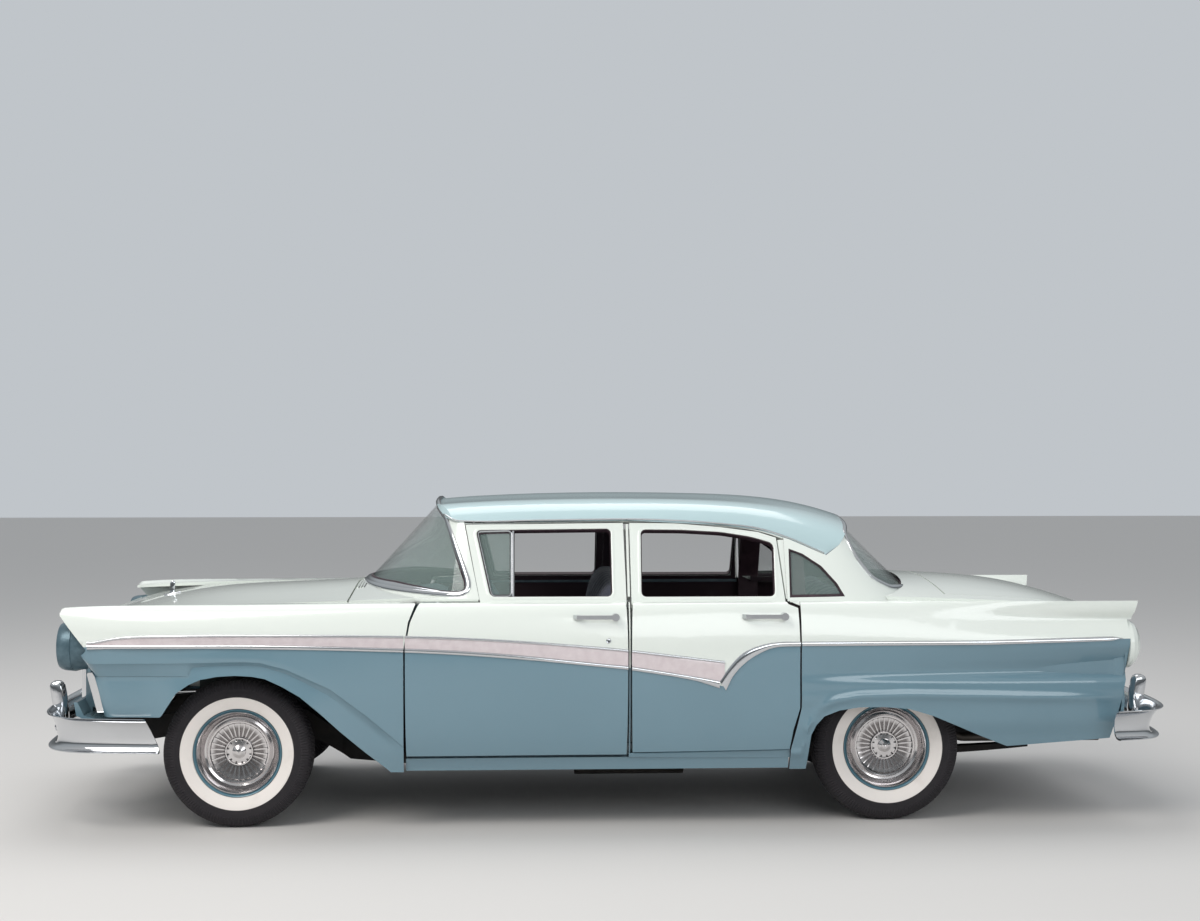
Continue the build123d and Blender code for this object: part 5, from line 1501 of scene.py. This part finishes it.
@dataclass(frozen=True)
class BodyEnamel:
    """The two-tone enamel of the sides: white over the trim line, blue-green below, trim inside the doors."""

    blue: Colour = rgb("6c8a97")
    white: Colour = rgb("e4e9e2")
    lining: Colour = rgb("46323a")
    line: tuple[Pair, ...] = mm(
        (-2600, 822), (-2172, 826), (-1605, 826), (-911, 808), (-504, 783), (-14, 734), (93, 722), (500, 640),
        (530, 700), (585, 765), (660, 806), (745, 826), (850, 828), (1700, 829), (2600, 842),
    )

    def level(self, x: Sock) -> Sock:
        """The height of the line between the two colours at x."""
        (x0, z0), (x1, z1) = self.line[0], self.line[1]
        slope = (z1 - z0) / (x1 - x0)
        result = (x - x0) * slope + z0
        for (xa, za), (xb, zb) in zip(self.line[1:], self.line[2:]):
            steeper = (zb - za) / (xb - xa)
            result = result + (x - xa).math("MAXIMUM", 0.0) * (steeper - slope)
            slope = steeper
        return result

    def build(self) -> bpy.types.Material:
        """Makes the material."""
        finish = Finish("two_tone_enamel", Coat_Weight=0.7, Coat_Roughness=0.04, Specular_IOR_Level=0.5)
        x, _, z = finish.axes()
        upper = z.over(self.level(x), 0.0008)
        patches = finish.noise(2.3, 2.0)
        blue = finish.mix(patches, shaded(self.blue, 0.95), shaded(self.blue, 1.05))
        colour = finish.mix(upper, blue, self.white)
        dust = (0.42 - z).held(4.0) * finish.noise(60.0, 5.0)
        colour = finish.mix(dust * 0.12, colour, rgb("8a7d72"))
        inside = inward(finish) * x.band(-0.95, 1.15, 0.001)
        weave = finish.noise(420.0, 2.0)
        lining = finish.mix(weave, shaded(self.lining, 0.7), self.lining)
        finish.set("Base Color", finish.mix(inside, colour, lining))
        finish.set("Roughness", 0.2 + dust * 0.06 + inside * 0.5)
        finish.bump(finish.noise(900.0, 2.0), 0.012, 0.001)
        return finish.material


@dataclass(frozen=True)
class Enamel:
    """Plain gloss enamel with a faint orange peel, and a cloth or painted inner face where asked."""

    name: str
    colour: Colour
    lining: Colour | None = None
    cabin: Colour | None = None

    def build(self) -> bpy.types.Material:
        """Makes the material."""
        finish = Finish(self.name, Roughness=0.2, Coat_Weight=0.7, Coat_Roughness=0.04)
        patches = finish.noise(2.1, 2.0)
        colour = finish.mix(patches, shaded(self.colour, 0.965), shaded(self.colour, 1.03))
        if self.lining:
            under = (finish.axes("Normal")[2] * -8.0 - 1.0).held()
            cloth = finish.mix(finish.noise(500.0, 2.0), shaded(self.lining, 0.8), self.lining)
            colour = finish.mix(under, colour, cloth)
            finish.set("Roughness", 0.2 + under * 0.6)
        if self.cabin:
            within = inward(finish)
            colour = finish.mix(within, colour, self.cabin)
            finish.set("Roughness", 0.2 + within * 0.4)
        finish.set("Base Color", colour)
        finish.bump(finish.noise(900.0, 2.0), 0.012, 0.001)
        return finish.material


@dataclass(frozen=True)
class Plate:
    """Polished plate with faint haze and fine scratches."""

    name: str
    colour: Colour
    roughness: float = 0.06

    def build(self) -> bpy.types.Material:
        """Makes the material."""
        finish = Finish(self.name, Metallic=1.0)
        haze = finish.noise(7.0, 4.0)
        fine = finish.noise(260.0, 3.0)
        finish.set("Base Color", finish.mix(haze, shaded(self.colour, 0.9), shaded(self.colour, 1.02)))
        finish.set("Roughness", self.roughness + haze * 0.05 + (fine - 0.5).math("MAXIMUM", 0.0) * 0.2)
        finish.bump(haze, 0.05, 0.004)
        return finish.material


@dataclass(frozen=True)
class Pane:
    """Clear, slightly tinted safety glass with a little dust."""

    name: str = "safety_glass"
    tint: Colour = rgb("8fa39e")
    alpha: float = 0.26

    def build(self) -> bpy.types.Material:
        """Makes the material."""
        finish = Finish(self.name, Base_Color=self.tint, Coat_Weight=1.0, Coat_Roughness=0.02)
        dust = finish.noise(18.0, 5.0)
        finish.set("Roughness", 0.03 + dust * 0.05)
        finish.set("Alpha", self.alpha + dust * 0.05)
        return finish.material


@dataclass(frozen=True)
class Matt:
    """A dull surface with two mottled colours and a grain."""

    name: str
    low: Colour
    high: Colour
    roughness: float = 0.8
    grain: float = 120.0
    depth: float = 0.001
    metallic: float = 0.0

    def build(self) -> bpy.types.Material:
        """Makes the material."""
        finish = Finish(self.name, Metallic=self.metallic)
        mottle = finish.noise(self.grain * 0.1, 4.0)
        grit = finish.noise(self.grain, 4.0)
        finish.set("Base Color", finish.mix((mottle - 0.3).held(2.2), self.low, self.high))
        finish.set("Roughness", self.roughness + (grit - 0.5) * 0.2)
        finish.bump(grit, 0.35, self.depth)
        return finish.material


@dataclass(frozen=True)
class SeatCloth:
    """Woven blue-grey seat cloth with pale stripes between the sewn channels."""

    name: str
    colour: Colour
    stripe: Colour

    def build(self) -> bpy.types.Material:
        """Makes the material."""
        finish = Finish(self.name, Sheen_Weight=0.25, Sheen_Roughness=0.4)
        _, y, _ = finish.axes()
        warp, weft = (
            finish.node("ShaderNodeTexWave", {"bands_direction": axis}, Vector=finish.place(), Scale=160.0,
                        Distortion=1.2, Detail=1.0)
            for axis in "YZ"
        )
        weave = warp * weft
        column = (y * 8.0).stripes(0.42, 0.58, 0.02)
        cloth = finish.mix(weave, shaded(self.colour, 0.72), self.colour)
        finish.set("Base Color", finish.mix(column * 0.55, cloth, self.stripe))
        finish.set("Roughness", 0.82 + (weave - 0.5) * 0.1)
        finish.bump(weave + finish.noise(60.0, 3.0) * 0.6, 0.5, 0.0012)
        return finish.material


@dataclass(frozen=True)
class TyreRubber:
    """Black rubber with a white sidewall band, fine rings and a ribbed shoulder, about one axle."""

    axle: Axle
    black: Colour = rgb("17151a")
    white: Colour = rgb("eae3dd")

    def build(self) -> bpy.types.Material:
        """Makes the material."""
        finish = Finish(f"tyre_rubber_{self.axle.name}")
        x, y, z = finish.axes()
        across, high = x - self.axle.x, z - AXLE_Z
        radius = across.hypot(high)
        outer_face = ((y - self.axle.y) * float(self.axle.out)).over(0.03, 0.002)
        band = radius.band(0.199, 0.2535, 0.0008) * outer_face
        turn = high.math("ARCTAN2", across)
        ribs = (turn * (150 / (2 * math.pi))).stripes(0.25, 0.75, 0.12) * radius.band(0.288, 0.326, 0.004)
        tread = (turn * (110 / (2 * math.pi)) + (y - self.axle.y) * 14.0).stripes(0.3, 0.7, 0.1)
        tread = tread * radius.over(0.3275, 0.001)
        rings = (radius * 260.0).stripes(0.3, 0.7, 0.15) * radius.band(0.258, 0.285, 0.001)
        dust = finish.noise(26.0, 4.0)
        dark = finish.mix(dust, self.black, rgb("2c272b"))
        scuffs = (finish.noise(9.0, 4.0) - 0.52).held(3.0)
        pale = finish.mix(scuffs * 0.6, self.white, rgb("c9bfb6"))
        finish.set("Base Color", finish.mix(band, dark, pale))
        finish.set("Roughness", 0.62 + dust * 0.2 - band * 0.12)
        finish.bump(ribs + tread * 1.6 + rings * 0.35 + band * 0.5 + dust * 0.1, 0.9, 0.003)
        return finish.material


@dataclass(frozen=True)
class WheelPlate:
    """The bright wheel cover with painted shade in its recessed vane bed and hub notches, and the painted rim
    ring.
    """

    axle: Axle
    bright: Colour = rgb("d9d6d6")
    paint: Colour = rgb("5b7f8c")
    notches: int = 12

    def build(self) -> bpy.types.Material:
        """Makes the material."""
        finish = Finish(f"wheel_cover_{self.axle.name}")
        x, y, z = finish.axes()
        across, high = x - self.axle.x, z - AXLE_Z
        radius = across.hypot(high)
        painted = radius.over(0.1855, 0.0006)
        turn = high.math("ARCTAN2", across)
        depth = (y - self.axle.y) * float(self.axle.out)
        notched = (turn * (self.notches / (2 * math.pi))).stripes(0.36, 0.64, 0.04)
        hub = radius.band(0.047, 0.057, 0.0008) * notched
        bed = radius.band(0.0665, 0.1285, 0.0012) * (0.0195 - depth).held(400.0)
        haze = finish.noise(18.0, 3.0)
        # Painted shade: the recessed vane bed is darkened towards brown-grey.
        shade = finish.mix(bed * 0.72, self.bright, rgb("4d4443"))
        # Painted shade: the hub notches are darkened nearly to black.
        shade = finish.mix(hub * 0.85, shade, rgb("2e2a2b"))
        finish.set("Base Color", finish.mix(painted, shade, self.paint))
        finish.set("Metallic", 1.0 - painted)
        finish.set("Roughness", 0.09 + haze * 0.06 + painted * 0.14 + bed * 0.15)
        finish.bump(hub * -1.0 + haze * 0.1, 0.5, 0.002)
        return finish.material


@dataclass(frozen=True)
class HeadlampLook:
    """The headlamp node: a grey-blue bezel round a fluted clear lens, with painted shade in the narrow ring
    between them.
    """

    bezel: Colour = rgb("6c828a")

    def build(self) -> bpy.types.Material:
        """Makes the material."""
        finish = Finish("headlamp_finish", Coat_Weight=1.0, Coat_Roughness=0.03)
        _, y, z = finish.axes()
        aside = y.math("ABSOLUTE") - HEADLAMP[0]
        high = z - HEADLAMP[1]
        radius = aside.hypot(high)
        lens = (0.0725 - radius).held(2500.0)
        # Painted shade: the narrow trough between lens and bezel is coloured nearly black.
        trough = radius.band(0.0735, 0.0785, 0.0006)
        flutes = (aside * 90.0).stripes(0.25, 0.75, 0.2) + (high * 30.0).stripes(0.4, 0.6, 0.1) * 0.6
        colour = finish.mix(flutes * 0.4, rgb("cfd8d8"), rgb("9fb0b3"))
        colour = finish.mix(lens, self.bezel, colour)
        finish.set("Base Color", finish.mix(trough, colour, rgb("1c2022")))
        finish.set("Metallic", (1.0 - lens) * (1.0 - trough))
        finish.set("Roughness", 0.12 + lens * 0.03 + trough * 0.4)
        finish.bump(flutes * lens + finish.noise(30.0) * 0.05, 0.6, 0.002)
        return finish.material


@dataclass(frozen=True)
class LensLook:
    """A coloured moulded lens with rings about its lamp's axis."""

    name: str
    colour: Colour
    deep: Colour
    y: float
    z: float
    pitch: float = 170.0

    def build(self) -> bpy.types.Material:
        """Makes the material."""
        finish = Finish(self.name, Coat_Weight=1.0, Coat_Roughness=0.02, Roughness=0.16)
        _, y, z = finish.axes()
        aside = y.math("ABSOLUTE") - self.y
        high = z - self.z
        radius = aside.hypot(high)
        rings = (radius * self.pitch).stripes(0.2, 0.8, 0.2)
        tip = (0.0195 - radius).held(3000.0)
        trim = radius.band(0.0525, 0.061, 0.0004)
        colour = finish.mix(rings, self.deep, self.colour)
        bright = tip + trim
        finish.set("Base Color", finish.mix(bright, colour, rgb("d8d8da")))
        finish.set("Metallic", bright)
        finish.bump(rings * (1.0 - bright), 0.7, 0.002)
        return finish.material


@dataclass(frozen=True)
class ParkingLook:
    """The parking lamps: a bright housing with a ribbed clear lens in its sloping face."""

    def build(self) -> bpy.types.Material:
        """Makes the material."""
        finish = Finish("parking_lamp_finish", Coat_Weight=0.6, Coat_Roughness=0.03)
        x, y, z = finish.axes()
        aside = y.math("ABSOLUTE")
        face = (x + z * 0.27).math("MULTIPLY", -1.0).over(2.1585, 0.0008)
        lens = aside.band(0.66, 0.796, 0.0015) * z.band(0.548, 0.676, 0.0015) * face
        ribs = (aside * 110.0).stripes(0.25, 0.75, 0.15)
        glow = finish.mix(ribs, rgb("c9c3b4"), rgb("ece7da"))
        finish.set("Base Color", finish.mix(lens, rgb("d6d8da"), glow))
        finish.set("Metallic", 1.0 - lens)
        finish.set("Roughness", 0.08 + lens * 0.12)
        finish.bump(ribs * lens, 0.6, 0.002)
        return finish.material


def dress(looks: dict[str, Look]) -> None:
    """Gives each CAD node its material, by the start of the node's name, the longest match first."""
    for name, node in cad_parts.items():
        stem = max((key for key in looks if name.startswith(key)), key=len)
        for place in node.material_slots:
            place.material = looks[stem].material
        LOG.info("%s: %s", name, looks[stem].material.name)


def main() -> None:
    """Builds the scene."""
    logging.basicConfig(level=logging.INFO, format="%(name)s: %(message)s")
    Studio().build()
    enamel = BodyEnamel()
    cream = enamel.white
    two_tone = Look(enamel.build(), Slot.PAINT_BLUE)
    white = Look(Enamel("white_enamel", cream).build(), Slot.PAINT_WHITE)
    pillar = Look(Enamel("pillar_enamel", cream, cabin=rgb("4b4049")).build(), Slot.PAINT_WHITE)
    # The roof's blue is real, but it is painted much lighter than the body's blue: a painted highlight for
    # the sky's light on its top. Its under faces take the headliner cloth.
    roof_blue_painted_lighter = Look(Enamel("roof_enamel", rgb("b4cbce"), rgb("8a8f8c")).build(), Slot.PAINT_BLUE)
    bright = Look(Plate("bright_chrome", rgb("dadcdf")).build(), Slot.CHROME)
    glass = Look(Pane().build(), Slot.GLASS)
    lamp = Look(HeadlampLook().build(), Slot.GLASS)
    parking = Look(ParkingLook().build(), Slot.GLASS)
    tail = Look(LensLook("tail_lens", rgb("a3161c"), rgb("6e0a10"), *TAILLAMP).build(), Slot.GLASS)
    cloth = Look(SeatCloth("seat_cloth", rgb("5b5f6e"), rgb("8f9298")).build(), Slot.UPHOLSTERY)
    dull = {
        "underbody_black": ("121214", "2a2725", Slot.UNDERBODY, 0.85, 120.0, 0.001, 0.0),
        "engine_paint": ("1d2326", "39403f", Slot.UNDERBODY, 0.6, 120.0, 0.001, 0.3),
        "dull_steel": ("4a4744", "6b655f", Slot.EXHAUST_STEEL, 0.5, 120.0, 0.001, 0.9),
        "anodised_insert": ("dccfd1", "e9dedf", Slot.CHROME, 0.36, 300.0, 0.0001, 0.4),
        "lamp_bezel": ("4a616b", "5f7680", Slot.CHROME, 0.32, 300.0, 0.0001, 0.35),
        "window_rubber": ("2a1a22", "402c35", Slot.UNDERBODY, 0.6, 300.0, 0.0003, 0.0),
        "dash_paint": ("6b828d", "7f959e", Slot.DASH_PLASTIC, 0.4, 300.0, 0.0004, 0.0),
        "dash_top_paint": ("8196a0", "93a6ae", Slot.DASH_PLASTIC, 0.35, 300.0, 0.0002, 0.0),
        "dial_face": ("1c2226", "3a4348", Slot.DASH_PLASTIC, 0.3, 90.0, 0.0002, 0.0),
        "door_vinyl": ("46323a", "5a434a", Slot.UPHOLSTERY, 0.5, 300.0, 0.0004, 0.0),
    }
    black, iron, steel, insert, bezel, rubber, dash, pale, dial, vinyl = (
        Look(Matt(name, rgb(low), rgb(high), *grain).build(), slot)
        for name, (low, high, slot, *grain) in dull.items()
    )
    dressed = (
        (white, "hood cowl trunk_lid deck_panel tail_pods"),
        (two_tone, "front_fender quarter_panel door_ side_frames tail_panel nose_panel"),
        (roof_blue_painted_lighter, "roof"), (pillar, "windshield_frame rear_pillars"),
        (glass, "windshield rear_window quarter_windows vent_window"),
        (bright, "front_bumper rear_bumper handle_ grille"),
        (lamp, "headlamps"), (parking, "parking_lamps"), (tail, "taillamps"),
        (black, "floor_pan wheel_houses chassis_frame front_suspension rear_axle leaf_springs knuckle"),
        (iron, "engine radiator"), (steel, "exhaust fuel_tank"), (cloth, "front_seat rear_seat"),
        (dash, "dashboard steering_wheel"),
    )
    looks = {stem: look for look, stems in dressed for stem in stems.split()}
    for axle in AXLES:
        looks[f"tyre_{axle.name}"] = Look(TyreRubber(axle).build(), Slot.TYRE)
        looks[f"wheel_{axle.name}"] = Look(WheelPlate(axle).build(), Slot.CHROME)
    dress(looks)
    SideTrim(bright, insert).build()
    Glazing(bright, white, rubber).build()
    Cabin(bright, cloth, vinyl, pale, dial).build()
    Brightwork(bright, white, black, two_tone, steel).build()
    LampTrim(lamp, bright, bezel).build()
    FenderSkin(two_tone).build()
    QuarterSkin(two_tone).build()
    for axle in AXLES:
        Tyre(axle, looks[f"tyre_{axle.name}"]).build()
    Bumper("front_bumper", bright, black, FRONT_BAR, -1, 0.4, -2.541, -2.3).build()
    Bumper("rear_bumper", bright, black, REAR_BAR, 1, -0.16, 2.53, 2.42, 0.458, REAR_FACE).build()


if __name__ == "__main__":
    main()
